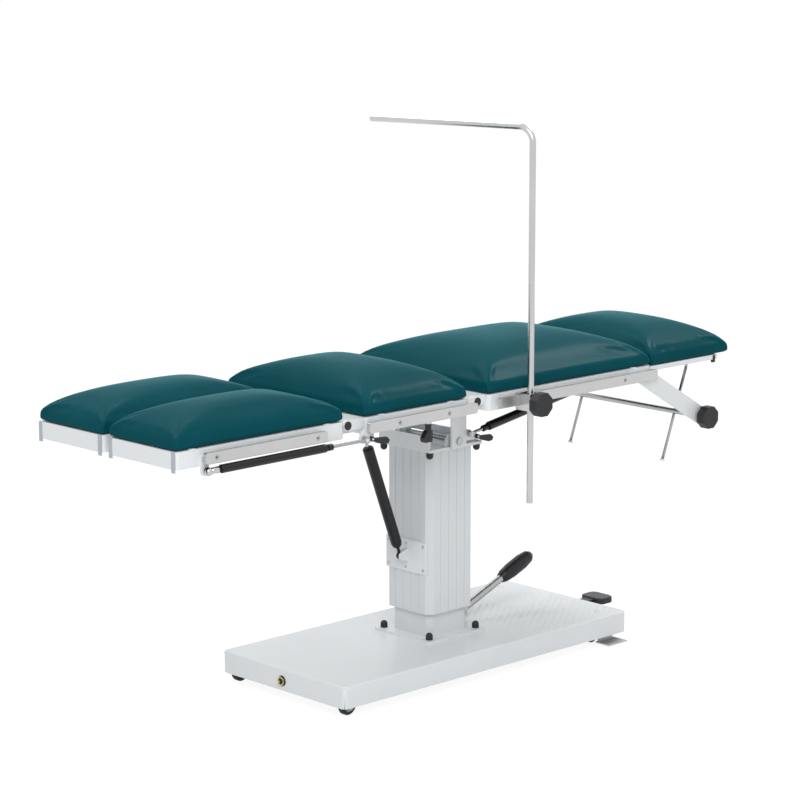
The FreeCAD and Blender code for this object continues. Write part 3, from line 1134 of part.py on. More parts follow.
def rail_clamp():
    """The clamp on the near back rail: a block hooked over the rail, bored for the pole's bush."""
    block = Piece(x="clamp_x")
    front = "-clamp_front"
    rail_out = "-(frame_width / 2 + rail_gap + rail_thick + clamp_gap)"
    rail_in = "-(frame_width / 2 + rail_gap - clamp_gap)"
    rail_high = "(rail_z + rail_height / 2 + clamp_gap)"
    rail_low = "(rail_z - rail_height / 2 - clamp_gap)"
    back = "-clamp_back"
    block.sketch("YZ_Plane").polygon(
        (front, "clamp_bottom"), (back, "clamp_bottom"), (back, f"{rail_low} + lip_height"),
        (rail_in, f"{rail_low} + lip_height"), (rail_in, rail_low), (rail_out, rail_low),
        (rail_out, rail_high), (rail_in, rail_high), (rail_in, f"{rail_high} - lip_height"),
        (back, f"{rail_high} - lip_height"), (back, "clamp_top"), (front, "clamp_top"))
    block.pad("2 * clamp_half", both=True)
    bore = cylinder("bush_radius + running_gap", "clamp_top - clamp_bottom + 2", "clamp_x",
                    "-pole_y", "clamp_bottom - 1")
    thread = cylinder("spindle_radius + running_gap", "20", "clamp_x", "-clamp_front - 2",
                      "clamp_knob_z", ALONG_Y)
    node("rail_clamp", cut(block.body, bore, thread))
    bush = cylinder("bush_radius", "clamp_top - clamp_bottom", "clamp_x", "-pole_y", "clamp_bottom")
    inside = cylinder("pole_radius + running_gap", "clamp_top - clamp_bottom + 2", "clamp_x",
                      "-pole_y", "clamp_bottom - 1")
    node("pole_bush", cut(bush, inside))
    knob = Piece("clamp_x", "-clamp_front", "clamp_knob_z")
    octagon_knob(knob, "clamp_front - pole_y - bush_radius - side_gap", "spindle_radius")
    node("clamp_knob", knob.body)


def screen_pole():
    """The L-shaped pole of the screen frame: upright, bend and level arm."""
    straight = "(pole_top - pole_bend - pole_bottom)"
    upright_bar = cylinder("pole_radius", straight, "clamp_x", "-pole_y", "pole_bottom")
    turned = Piece("clamp_x", "-pole_y", "pole_top", Z_AXIS, "pole_turn")
    turned.sketch("XZ_Plane", "-pole_bend").circle("0", "0", "pole_radius")
    turned.pad("pole_arm - pole_bend", back=True)
    elbow = Piece("clamp_x", "-pole_y", "pole_top - pole_bend", Z_AXIS, "pole_turn")
    elbow.sketch("XY_Plane").circle("0", "0", "pole_radius")
    bend = elbow.body.newObject("PartDesign::Revolution", "bend")
    bend.Profile = elbow.profile
    line = elbow.profile.addGeometry(
        Part.LineSegment(FreeCAD.Vector(-5, 5, 0), FreeCAD.Vector(5, 5, 0)), True)
    for end in (1, 2):
        elbow._point(line, end, "-5" if end == 1 else "5", "pole_bend")
    bend.ReferenceAxis = (elbow.profile, ["Axis0"])
    bend.Angle = 90
    bend.Reversed = True
    node("screen_pole", fuse(upright_bar, elbow.body, turned.body))


base_pan()
earth_terminal()
wheel("near_foot_wheel", "-foot_wheel_x", "-foot_wheel_y")
wheel("far_foot_wheel", "-foot_wheel_x", "foot_wheel_y")
for name, sign in (("near", -1), ("far", 1)):
    head_castor(f"{name}_head_castor_fork", sign)
    wheel(f"{name}_head_wheel", "head_castor_x - castor_trail", f"{sign} * head_castor_y")
    castor_brake(f"{name}_castor_brake", sign)
end_pedal()
column_flange()
inner_column()
lift_ram()
pump_pivot_bracket()
foot_lever()
outer_column()
column_head()
tilt_spring_plate()
tilt_cradle()
tilt_spring()
seat_frame()
hinge_pins()
for name, sign in (("near", -1), ("far", 1)):
    leg_section(name, sign)
    leg_spring(name, sign)
back_section()
back_spring()
head_arm("near_head_arm", -1)
head_arm("far_head_arm", 1)
head_section()
rail_clamp()
screen_pole()
doc.recompute()

os.makedirs("parts", exist_ok=True)
for thing in doc.Objects:
    if "Invalid" in thing.State or "Error" in thing.State:
        raise RuntimeError(f"{thing.Label} did not recompute: {thing.State}")
for thing in NODES:
    if thing.Shape.isNull() or not thing.Shape.isValid():
        raise RuntimeError(f"{thing.Label} has no valid shape")
    thing.Shape.exportStep(f"parts/{thing.Label}.step")
    print(thing.Label, round(thing.Shape.Volume), len(thing.Shape.Solids))
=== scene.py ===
import json
import math

import bmesh
import bpy
from mathutils import Matrix, Vector

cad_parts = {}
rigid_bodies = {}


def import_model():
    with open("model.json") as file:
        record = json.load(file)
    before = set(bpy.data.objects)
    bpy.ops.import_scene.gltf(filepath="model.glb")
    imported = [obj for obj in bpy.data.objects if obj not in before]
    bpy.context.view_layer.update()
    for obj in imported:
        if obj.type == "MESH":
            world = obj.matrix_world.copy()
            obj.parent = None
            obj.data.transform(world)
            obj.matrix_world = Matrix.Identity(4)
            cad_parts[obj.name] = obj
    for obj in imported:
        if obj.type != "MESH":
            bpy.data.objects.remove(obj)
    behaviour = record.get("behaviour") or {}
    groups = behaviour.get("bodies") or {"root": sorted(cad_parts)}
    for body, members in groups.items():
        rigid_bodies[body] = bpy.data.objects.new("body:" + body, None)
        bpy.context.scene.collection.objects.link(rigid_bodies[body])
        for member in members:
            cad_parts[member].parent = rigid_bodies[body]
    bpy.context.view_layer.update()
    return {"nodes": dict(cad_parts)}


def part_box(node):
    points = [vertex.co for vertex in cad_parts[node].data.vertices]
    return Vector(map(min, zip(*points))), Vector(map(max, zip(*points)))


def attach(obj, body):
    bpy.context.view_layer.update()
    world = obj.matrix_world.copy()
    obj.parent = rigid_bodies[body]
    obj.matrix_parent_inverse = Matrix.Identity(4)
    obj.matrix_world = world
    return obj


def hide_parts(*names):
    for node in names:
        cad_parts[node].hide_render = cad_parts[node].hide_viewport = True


bl_info = {
    "name": "Operating Table",
    "version": (1, 0, 0),
    "blender": (4, 5, 0),
    "location": "View3D > Sidebar > Table",
    "description": "Dresses the packed operating table: finishes, cushions, screws and studio",
    "category": "Object",
}

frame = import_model()
MM = 0.001


# What a user would change

class TableFinishes(bpy.types.PropertyGroup):
    """Colours of the table's finishes."""

    paint: bpy.props.FloatVectorProperty(
        name="Paint", description="Powder coat of the frames, column and base",
        subtype="COLOR", size=3, min=0, max=1, default=(0.76, 0.785, 0.80))
    cover: bpy.props.FloatVectorProperty(
        name="Cover", description="Leatherette of the cushions",
        subtype="COLOR", size=3, min=0, max=1, default=(0.003, 0.070, 0.088))
    black: bpy.props.FloatVectorProperty(
        name="Plastic", description="Moulded grips, knobs and caps",
        subtype="COLOR", size=3, min=0, max=1, default=(0.022, 0.023, 0.026))
    steel: bpy.props.FloatVectorProperty(
        name="Steel", description="Side rails, levers and crossbar",
        subtype="COLOR", size=3, min=0, max=1, default=(0.60, 0.60, 0.60))


class TableSizes(bpy.types.PropertyGroup):
    """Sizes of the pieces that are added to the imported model."""

    overhang: bpy.props.FloatProperty(
        name="Cushion overhang", description="How far a cushion's cover stands out from its solid",
        subtype="DISTANCE", unit="LENGTH", default=3 * MM)
    swell: bpy.props.FloatProperty(
        name="Swell limit", description="How far the filling may push the cover",
        subtype="DISTANCE", unit="LENGTH", default=5 * MM)
    crease: bpy.props.FloatProperty(
        name="Corner crease", description="Depth of the folds that run in from the corners",
        subtype="DISTANCE", unit="LENGTH", default=2.2 * MM)
    voxel: bpy.props.FloatProperty(
        name="Cover mesh", description="Size of the cover's mesh before it is filled",
        subtype="DISTANCE", unit="LENGTH", default=6 * MM)
    pressure: bpy.props.FloatProperty(
        name="Filling", description="Pressure of the filling", default=4.0)
    screw: bpy.props.FloatProperty(
        name="Screw head", description="Radius of the rail screws' heads",
        subtype="DISTANCE", unit="LENGTH", default=5.6 * MM)


class StageSettings(bpy.types.PropertyGroup):
    """Camera and light of the studio."""

    azimuth: bpy.props.FloatProperty(
        name="Azimuth", description="Camera's angle round the table, 0 looks along +Y",
        subtype="ANGLE", unit="ROTATION", default=math.radians(-43.82))
    elevation: bpy.props.FloatProperty(
        name="Elevation", description="Camera's angle above the horizon",
        subtype="ANGLE", unit="ROTATION", default=math.radians(10.88))
    distance: bpy.props.FloatProperty(
        name="Distance", description="Camera to the point that it looks at",
        subtype="DISTANCE", unit="LENGTH", default=6.80918)
    focal: bpy.props.FloatProperty(
        name="Focal length", description="On a 36 mm wide sensor, in mm", default=123.95)
    target: bpy.props.FloatVectorProperty(
        name="Target", description="The point that the camera looks at",
        subtype="TRANSLATION", unit="LENGTH", size=3, default=(-0.10464, 0.0, 0.68704))


# Small helpers

def finish_mesh(name, bm, body, material, smooth=True):
    """Turns a bmesh into a finished piece that rides on a body."""
    bmesh.ops.recalc_face_normals(bm, faces=bm.faces[:])
    mesh = bpy.data.meshes.new(name)
    bm.to_mesh(mesh)
    bm.free()
    for polygon in mesh.polygons:
        polygon.use_smooth = smooth
    piece = bpy.data.objects.new(name, mesh)
    bpy.context.scene.collection.objects.link(piece)
    mesh.materials.append(material)
    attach(piece, body)
    return piece


def use_alone(thing):
    """Makes one object active and selected."""
    for other in bpy.context.view_layer.objects:
        other.select_set(False)
    thing.select_set(True)
    bpy.context.view_layer.objects.active = thing


def aim(direction):
    """The turn that takes +Z to a direction."""
    return Vector((0, 0, 1)).rotation_difference(Vector(direction)).to_matrix().to_4x4()


def bake_modifiers(thing):
    """Applies every modifier of an object to its mesh."""
    bpy.context.view_layer.update()
    graph = bpy.context.evaluated_depsgraph_get()
    mesh = bpy.data.meshes.new_from_object(thing.evaluated_get(graph))
    old = thing.data
    thing.modifiers.clear()
    thing.data = mesh
    bpy.data.meshes.remove(old)


# Node groups

def new_group(name, inputs, outputs):
    """An empty shader node group with named sockets."""
    tree = bpy.data.node_groups.new(name, "ShaderNodeTree")
    for label, kind, default in inputs:
        socket = tree.interface.new_socket(label, in_out="INPUT", socket_type=kind)
        if default is not None:
            socket.default_value = default
    for label, kind in outputs:
        tree.interface.new_socket(label, in_out="OUTPUT", socket_type=kind)
    start = tree.nodes.new("NodeGroupInput")
    end = tree.nodes.new("NodeGroupOutput")
    return tree, start, end


def mottle_group():
    """A soft change of tone over the surface: outputs a colour and a mask."""
    tree, start, end = new_group(
        "surface_mottle",
        [("Color", "NodeSocketColor", (0.8, 0.8, 0.8, 1)), ("Scale", "NodeSocketFloat", 6.0),
         ("Amount", "NodeSocketFloat", 0.06)],
        [("Color", "NodeSocketColor"), ("Mask", "NodeSocketFloat")])
    place = tree.nodes.new("ShaderNodeTexCoord")
    noise = tree.nodes.new("ShaderNodeTexNoise")
    noise.inputs["Detail"].default_value = 5
    noise.inputs["Roughness"].default_value = 0.55
    spread = tree.nodes.new("ShaderNodeMapRange")
    spread.inputs["From Min"].default_value = 0.3
    spread.inputs["From Max"].default_value = 0.7
    dark = tree.nodes.new("ShaderNodeMath")
    dark.operation = "MULTIPLY"
    tone = tree.nodes.new("ShaderNodeMath")
    tone.operation = "SUBTRACT"
    tone.inputs[0].default_value = 1.0
    tint = tree.nodes.new("ShaderNodeVectorMath")
    tint.operation = "SCALE"
    link = tree.links.new
    link(place.outputs["Object"], noise.inputs["Vector"])
    link(start.outputs["Scale"], noise.inputs["Scale"])
    link(noise.outputs["Fac"], spread.inputs["Value"])
    link(spread.outputs["Result"], dark.inputs[0])
    link(start.outputs["Amount"], dark.inputs[1])
    link(dark.outputs[0], tone.inputs[1])
    link(start.outputs["Color"], tint.inputs[0])
    link(tone.outputs[0], tint.inputs["Scale"])
    link(tint.outputs[0], end.inputs["Color"])
    link(spread.outputs["Result"], end.inputs["Mask"])
    return tree


def grain_group():
    """Fine grain as a height for bump and a roughness mask; stretched along one axis on request."""
    tree, start, end = new_group(
        "fine_grain",
        [("Scale", "NodeSocketFloat", 400.0), ("Stretch", "NodeSocketVector", (1, 1, 1)),
         ("Low", "NodeSocketFloat", 0.3), ("High", "NodeSocketFloat", 0.5)],
        [("Height", "NodeSocketFloat"), ("Roughness", "NodeSocketFloat")])
    place = tree.nodes.new("ShaderNodeTexCoord")
    shape = tree.nodes.new("ShaderNodeVectorMath")
    shape.operation = "MULTIPLY"
    noise = tree.nodes.new("ShaderNodeTexNoise")
    noise.inputs["Detail"].default_value = 3
    spread = tree.nodes.new("ShaderNodeMapRange")
    link = tree.links.new
    link(place.outputs["Object"], shape.inputs[0])
    link(start.outputs["Stretch"], shape.inputs[1])
    link(shape.outputs[0], noise.inputs["Vector"])
    link(start.outputs["Scale"], noise.inputs["Scale"])
    link(noise.outputs["Fac"], end.inputs["Height"])
    link(noise.outputs["Fac"], spread.inputs["Value"])
    link(start.outputs["Low"], spread.inputs["To Min"])
    link(start.outputs["High"], spread.inputs["To Max"])
    link(spread.outputs["Result"], end.inputs["Roughness"])
    return tree


def leather_group():
    """Pebbled grain of leatherette: small cells with soft valleys."""
    tree, start, end = new_group(
        "leather_grain",
        [("Scale", "NodeSocketFloat", 900.0)],
        [("Height", "NodeSocketFloat"), ("Mask", "NodeSocketFloat")])
    place = tree.nodes.new("ShaderNodeTexCoord")
    warp = tree.nodes.new("ShaderNodeTexNoise")
    warp.inputs["Scale"].default_value = 60
    blend = tree.nodes.new("ShaderNodeVectorMath")
    blend.operation = "MULTIPLY_ADD"
    blend.inputs[1].default_value = (0.004, 0.004, 0.004)
    cells = tree.nodes.new("ShaderNodeTexVoronoi")
    cells.feature = "SMOOTH_F1"
    cells.inputs["Smoothness"].default_value = 0.6
    link = tree.links.new
    link(place.outputs["Object"], warp.inputs["Vector"])
    link(warp.outputs["Color"], blend.inputs[0])
    link(place.outputs["Object"], blend.inputs[2])
    link(blend.outputs[0], cells.inputs["Vector"])
    link(start.outputs["Scale"], cells.inputs["Scale"])
    link(cells.outputs["Distance"], end.inputs["Height"])
    link(warp.outputs["Fac"], end.inputs["Mask"])
    return tree


GROUPS = {}
MATERIALS = {}


def group_node(tree, name):
    """Places one of the shared groups in a material."""
    node = tree.nodes.new("ShaderNodeGroup")
    node.node_tree = GROUPS[name]
    return node


def new_material(name):
    """A material with an empty tree but for its shader and output."""
    material = bpy.data.materials.new(name)
    material.use_nodes = True
    shader = material.node_tree.nodes["Principled BSDF"]
    MATERIALS[name] = material
    return material, material.node_tree, shader


def add_tone(tree, shader, color, scale, amount):
    """Base colour with a soft mottle."""
    node = group_node(tree, "mottle")
    node.inputs["Color"].default_value = (*color, 1)
    node.inputs["Scale"].default_value = scale
    node.inputs["Amount"].default_value = amount
    tree.links.new(node.outputs["Color"], shader.inputs["Base Color"])
    return node


def add_grain(tree, shader, scale, stretch, rough, depth):
    """Grain that drives roughness and a bump."""
    node = group_node(tree, "grain")
    node.inputs["Scale"].default_value = scale
    node.inputs["Stretch"].default_value = stretch
    node.inputs["Low"].default_value = rough[0]
    node.inputs["High"].default_value = rough[1]
    tree.links.new(node.outputs["Roughness"], shader.inputs["Roughness"])
    bump = tree.nodes.new("ShaderNodeBump")
    bump.inputs["Strength"].default_value = 0.4
    bump.inputs["Distance"].default_value = depth
    tree.links.new(node.outputs["Height"], bump.inputs["Height"])
    tree.links.new(bump.outputs["Normal"], shader.inputs["Normal"])
    return bump


def powder_coat(name, color):
    """White powder coat: faint orange peel and a soft gloss."""
    material, tree, shader = new_material(name)
    add_tone(tree, shader, color, 3.0, 0.05)
    add_grain(tree, shader, 260, (1, 1, 1), (0.30, 0.42), 0.00012)
    shader.inputs["Specular IOR Level"].default_value = 0.45
    shader.inputs["Coat Weight"].default_value = 0.15
    shader.inputs["Coat Roughness"].default_value = 0.15
    return material


def brushed_metal(name, color, stretch, rough, metallic=1.0, depth=0.00006):
    """Drawn or brushed metal with lines along one axis."""
    material, tree, shader = new_material(name)
    add_tone(tree, shader, color, 9.0, 0.10)
    add_grain(tree, shader, 500, stretch, rough, depth)
    shader.inputs["Metallic"].default_value = metallic
    return material


def moulded_plastic(name, color, rough, depth=0.00015):
    """Moulded plastic or rubber with a fine spark texture."""
    material, tree, shader = new_material(name)
    shader.inputs["Specular IOR Level"].default_value = 0.3
    add_tone(tree, shader, color, 20.0, 0.18)
    add_grain(tree, shader, 900, (1, 1, 1), rough, depth)
    return material


def leatherette(name, color):
    """Teal leatherette: pebble grain, a tinted sheen, a thin coat and slight tone changes."""
    material, tree, shader = new_material(name)
    add_tone(tree, shader, color, 2.5, 0.22)
    grain = group_node(tree, "leather")
    grain.inputs["Scale"].default_value = 700
    spread = tree.nodes.new("ShaderNodeMapRange")
    spread.inputs["To Min"].default_value = 0.34
    spread.inputs["To Max"].default_value = 0.44
    tree.links.new(grain.outputs["Mask"], spread.inputs["Value"])
    tree.links.new(spread.outputs["Result"], shader.inputs["Roughness"])
    bump = tree.nodes.new("ShaderNodeBump")
    bump.inputs["Strength"].default_value = 0.25
    bump.inputs["Distance"].default_value = 0.0002
    tree.links.new(grain.outputs["Height"], bump.inputs["Height"])
    tree.links.new(bump.outputs["Normal"], shader.inputs["Normal"])
    shader.inputs["Specular IOR Level"].default_value = 0.01
    shader.inputs["Coat Weight"].default_value = 0.035
    shader.inputs["Coat Roughness"].default_value = 0.20
    shader.inputs["Sheen Weight"].default_value = 0.50
    shader.inputs["Sheen Roughness"].default_value = 0.25
    shader.inputs["Sheen Tint"].default_value = (0.0, 0.52, 0.62, 1)
    return material


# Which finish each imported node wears

NODE_FINISH = {
    "flange_bolt_caps": "cap_plastic", "column_head_caps": "cap_plastic",
    "earth_terminal": "brass_terminal", "foot_lever_grip": "grip_rubber",
    "foot_lever_arm": "lever_steel", "end_pedal": "grip_rubber",
    "lift_cylinder": "lever_steel", "lift_ram": "bright_rod", "tilt_shaft": "lever_steel",
    "near_foot_wheel": "tyre_rubber", "far_foot_wheel": "tyre_rubber",
    "near_head_wheel": "tyre_rubber", "far_head_wheel": "tyre_rubber",
    "near_head_castor_fork": "zinc_sheet", "far_head_castor_fork": "zinc_sheet",
    "near_castor_brake": "zinc_sheet", "far_castor_brake": "zinc_sheet",
    "seat_rails": "rail_steel", "near_leg_rail": "rail_steel", "far_leg_rail": "rail_steel",
    "back_rails": "rail_steel", "hinge_pins": "cap_plastic", "tilt_handle": "cap_plastic",
    "near_leg_spring_cylinder": "spring_black", "far_leg_spring_cylinder": "spring_black",
    "back_spring_cylinder": "spring_black", "tilt_spring_cylinder": "spring_black",
    "near_leg_spring_rod": "bright_rod", "far_leg_spring_rod": "bright_rod",
    "back_spring_rod": "bright_rod", "tilt_spring_rod": "bright_rod",
    "near_leg_release": "cap_plastic", "far_leg_release": "cap_plastic",
    "back_release": "cap_plastic", "head_crossbar": "lever_steel", "head_knob": "knob_plastic",
    "clamp_knob": "knob_plastic", "rail_clamp": "clamp_chrome", "pole_bush": "brass_terminal",
    "screen_pole": "pole_steel", "outer_column": "column_paint", "inner_column": "column_paint",
}


class TABLE_OT_finishes(bpy.types.Operator):
    """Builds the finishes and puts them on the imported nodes."""

    bl_idname = "table.finishes"
    bl_label = "Finishes"

    def execute(self, context):
        colors = context.scene.table_finishes
        GROUPS["mottle"] = mottle_group()
        GROUPS["grain"] = grain_group()
        GROUPS["leather"] = leather_group()
        paint = tuple(colors.paint)
        steel = tuple(colors.steel)
        black = tuple(colors.black)
        powder_coat("frame_paint", paint)
        powder_coat("column_paint", tuple(c * 0.90 for c in paint))
        brushed_metal("rail_steel", steel, (1, 12, 12), (0.30, 0.42))
        brushed_metal("lever_steel", tuple(c * 0.8 for c in steel), (1, 6, 6), (0.28, 0.40))
        brushed_metal("pole_steel", steel, (12, 12, 1), (0.16, 0.26))
        brushed_metal("bright_rod", (0.42, 0.42, 0.43), (1, 1, 1), (0.14, 0.2), 1.0, 0.000004)
        brushed_metal("clamp_chrome", (0.58, 0.58, 0.59), (1, 1, 1), (0.08, 0.14), 1.0, 0.000004)
        brushed_metal("zinc_sheet", (0.52, 0.53, 0.54), (2, 2, 2), (0.35, 0.5))
        brushed_metal("brass_terminal", (0.55, 0.46, 0.22), (2, 2, 2), (0.3, 0.4))
        moulded_plastic("cap_plastic", black, (0.32, 0.42))
        moulded_plastic("knob_plastic", black, (0.42, 0.55))
        moulded_plastic("grip_rubber", tuple(c * 0.9 for c in black), (0.30, 0.42))
        moulded_plastic("tyre_rubber", tuple(c * 1.2 for c in black), (0.5, 0.65))
        moulded_plastic("spring_black", tuple(c * 0.5 for c in black), (0.22, 0.32), 0.00004)
        moulded_plastic("hub_grey", (0.34, 0.35, 0.37), (0.35, 0.5), 0.00006)
        moulded_plastic("strip_grey", (0.47, 0.50, 0.56), (0.35, 0.5), 0.00006)
        leatherette("teal_cover", tuple(colors.cover))
        for name, node in frame["nodes"].items():
            node.data.materials.clear()
            node.data.materials.append(MATERIALS[NODE_FINISH.get(name, "frame_paint")])
        return {"FINISHED"}


# Cushions

SLOPE_LENGTH = 260 * MM    # longest slope from an edge to the crown
FOLD_LENGTH = 85 * MM      # how far the corner folds run in
FOLD_WIDTH = 4.5 * MM
END_FULLNESS = 2.5         # higher lifts the shoulders at the short ends
SIDE_FULLNESS = 2.3
EDGE_HEIGHT = 28 * MM      # upright band round a cushion
BASE_GAP = 0.3 * MM        # between a cover and its board
HELD_HEIGHT = 4 * MM       # part of the cover that is fixed to the board
HEM_HEIGHT = 8 * MM
HEM_TUCK = 2 * MM
HIP_SHARP = 13             # exponent of the hips near the edge
HIP_SOFT = 4               # and up by the crown
HIP_FADE = 0.6
BLANK_CUTS = 40
FILL_FRAMES = 20
STIFFNESS = {"tension": 30, "compression": 15, "shear": 8, "bending": 1.5}


def pillow_blank(low, high, edge, cuts):
    """A closed pad with a flat base, low sides and a domed top whose slopes meet in hips."""
    bm = bmesh.new()
    bmesh.ops.create_cube(bm, size=2)
    bmesh.ops.subdivide_edges(bm, edges=bm.edges[:], cuts=cuts, use_grid_fill=True)
    centre = (low + high) / 2
    half = (high - low) / 2
    tall = high.z - low.z
    for vert in bm.verts:
        u, v, w = vert.co
        away_x = (1 - abs(u)) * half.x
        away_y = (1 - abs(v)) * half.y
        top = edge + (tall - edge) * dome(away_x, away_y, half)
        rise = (w + 1) / 2
        vert.co.x = centre.x + u * half.x
        vert.co.y = centre.y + v * half.y
        vert.co.z = low.z + rise * top
    return bm


def dome(away_x, away_y, half):
    """How far up its crown a cover is, from its distances in from the two edges."""
    reach_x = min(half.x, SLOPE_LENGTH)
    reach_y = min(half.y, SLOPE_LENGTH)
    rise_x = 1 - (1 - min(max(away_x, 0) / reach_x, 1)) ** END_FULLNESS
    rise_y = 1 - (1 - min(max(away_y, 0) / reach_y, 1)) ** SIDE_FULLNESS
    rise_x, rise_y = max(rise_x, 0.01), max(rise_y, 0.01)
    lower = min(rise_x, rise_y)
    sharp = HIP_SHARP - (HIP_SHARP - HIP_SOFT) * min(lower / HIP_FADE, 1)
    return (rise_x ** -sharp + rise_y ** -sharp) ** (-1 / sharp) * 2 ** (min(lower, 1) / sharp)


def crease_corners(piece, low, high, depth):
    """Folds that run in from the top corners of a cover and fade out."""
    half = (high - low) / 2
    centre = (low + high) / 2
    for vert in piece.data.vertices:
        if vert.co.z < low.z + (high.z - low.z) * 0.2:
            continue
        away_x = half.x - abs(vert.co.x - centre.x)
        away_y = half.y - abs(vert.co.y - centre.y)
        along = (away_x + away_y) / 2
        across = (away_x - away_y) / 2 ** 0.5
        fade = max(1 - along / FOLD_LENGTH, 0) ** 1.5 * min(max(along, 0) / (6 * MM), 1)
        groove = math.exp(-(across / FOLD_WIDTH) ** 2)
        ridge = math.exp(-((abs(across) - 11 * MM) / (6 * MM)) ** 2)
        vert.co.z -= depth * fade * (groove - 0.55 * ridge)


def hem_base(piece, low, high, tuck):
    """Draws the cover's lower edge in, so that it meets its board in a thin dark line."""
    centre = (low + high) / 2
    half = (high - low) / 2
    for vert in piece.data.vertices:
        height = (vert.co.z - low.z) / HEM_HEIGHT
        if height < 1:
            pull = tuck * (1 - max(height, 0)) ** 2
            vert.co.x -= pull * (vert.co.x - centre.x) / half.x
            vert.co.y -= pull * (vert.co.y - centre.y) / half.y


def fill_cover(piece, sizes):
    """Fills a closed cover: a few frames of cloth under pressure, held at its base."""
    mesh = piece.data
    base = min(vert.co.z for vert in mesh.vertices)
    held = piece.vertex_groups.new(name="base")
    held.add([v.index for v in mesh.vertices if v.co.z < base + HELD_HEIGHT], 1.0, "REPLACE")
    start = [vert.co.copy() for vert in mesh.vertices]
    cloth = piece.modifiers.new("filling", "CLOTH")
    cloth.settings.use_pressure = True
    cloth.settings.uniform_pressure_force = sizes.pressure
    cloth.settings.vertex_group_mass = "base"
    cloth.settings.tension_stiffness = STIFFNESS["tension"]
    cloth.settings.compression_stiffness = STIFFNESS["compression"]
    cloth.settings.shear_stiffness = STIFFNESS["shear"]
    cloth.settings.bending_stiffness = STIFFNESS["bending"]
    cloth.settings.quality = 4
    cloth.settings.effector_weights.gravity = 0
    cloth.collision_settings.use_collision = False
    scene = bpy.context.scene
    for step in range(1, FILL_FRAMES + 1):
        scene.frame_set(step)
    graph = bpy.context.evaluated_depsgraph_get()
    filled = bpy.data.meshes.new_from_object(piece.evaluated_get(graph))
    piece.modifiers.clear()
    for vert, before, after in zip(mesh.vertices, start, filled.vertices):
        move = after.co - before
        if move.length > sizes.swell:
            move *= sizes.swell / move.length
        vert.co = before + move
    bpy.data.meshes.remove(filled)
    scene.frame_set(1)


def add_smooth(piece, name, times):
    """Adds a modifier that evens a cover out."""
    smooth = piece.modifiers.new(name, "SMOOTH")
    smooth.factor = 0.5
    smooth.iterations = times


def cushion(node, body, edge, sizes):
    """One upholstered pad in the space of its solid."""
    low, high = (Vector(corner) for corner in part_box(node))
    overhang = sizes.overhang
    low += Vector((-overhang, -overhang, BASE_GAP))
    high += Vector((overhang, overhang, 0))
    bm = pillow_blank(low, high, edge, BLANK_CUTS)
    bmesh.ops.recalc_face_normals(bm, faces=bm.faces[:])
    mesh = bpy.data.meshes.new(node + "_cover")
    bm.to_mesh(mesh)
    bm.free()
    piece = bpy.data.objects.new(node + "_cover", mesh)
    bpy.context.scene.collection.objects.link(piece)
    use_alone(piece)
    remesh = piece.modifiers.new("even", "REMESH")
    remesh.mode = "VOXEL"
    remesh.voxel_size = sizes.voxel
    add_smooth(piece, "round", 5)
    bake_modifiers(piece)
    fill_cover(piece, sizes)
    add_smooth(piece, "even_out", 3)
    finer = piece.modifiers.new("finer", "SUBSURF")
    finer.levels = 1
    finer.render_levels = 1
    bake_modifiers(piece)
    crease_corners(piece, low, high, sizes.crease)
    hem_base(piece, low, high, HEM_TUCK)
    for polygon in piece.data.polygons:
        polygon.use_smooth = True
    piece.data.materials.clear()
    piece.data.materials.append(MATERIALS["teal_cover"])
    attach(piece, body)
    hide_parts(node)
    return piece


class TABLE_OT_cushions(bpy.types.Operator):
    """Makes the five cushions and fills them."""

    bl_idname = "table.cushions"
    bl_label = "Cushions"

    def execute(self, context):
        sizes = context.scene.table_sizes
        for name in ("near_leg", "far_leg", "seat", "back", "head"):
            cushion(name + "_cushion", name, EDGE_HEIGHT, sizes)
        return {"FINISHED"}


# Screws

SCREW_RISE = 0.8 * MM      # a head's height without its rounded rim
SCREW_SINK = 1.2 * MM      # how far a rail screw is let into its rail
SOCKET_DEPTH = 0.9 * MM
SHADE_LIFT = 0.35 * MM     # level of the dark disc that paints the shade in a socket
PLATE_FACE = -85 * MM      # the spring plate's outer face
PLATE_SPREAD = (62 * MM, 30 * MM)
PLATE_SCREW = 4 * MM

# Section: body, middle and spread of its screws along the table, and the sides that have a rail
RAIL_SCREWS = {
    "near_leg": ("near_leg", -0.774, 0.300, (-1,)), "far_leg": ("far_leg", -0.774, 0.300, (1,)),
    "seat": ("seat", -0.284, 0.162, (-1, 1)), "back": ("back", 0.262, 0.324, (-1, 1)),
}


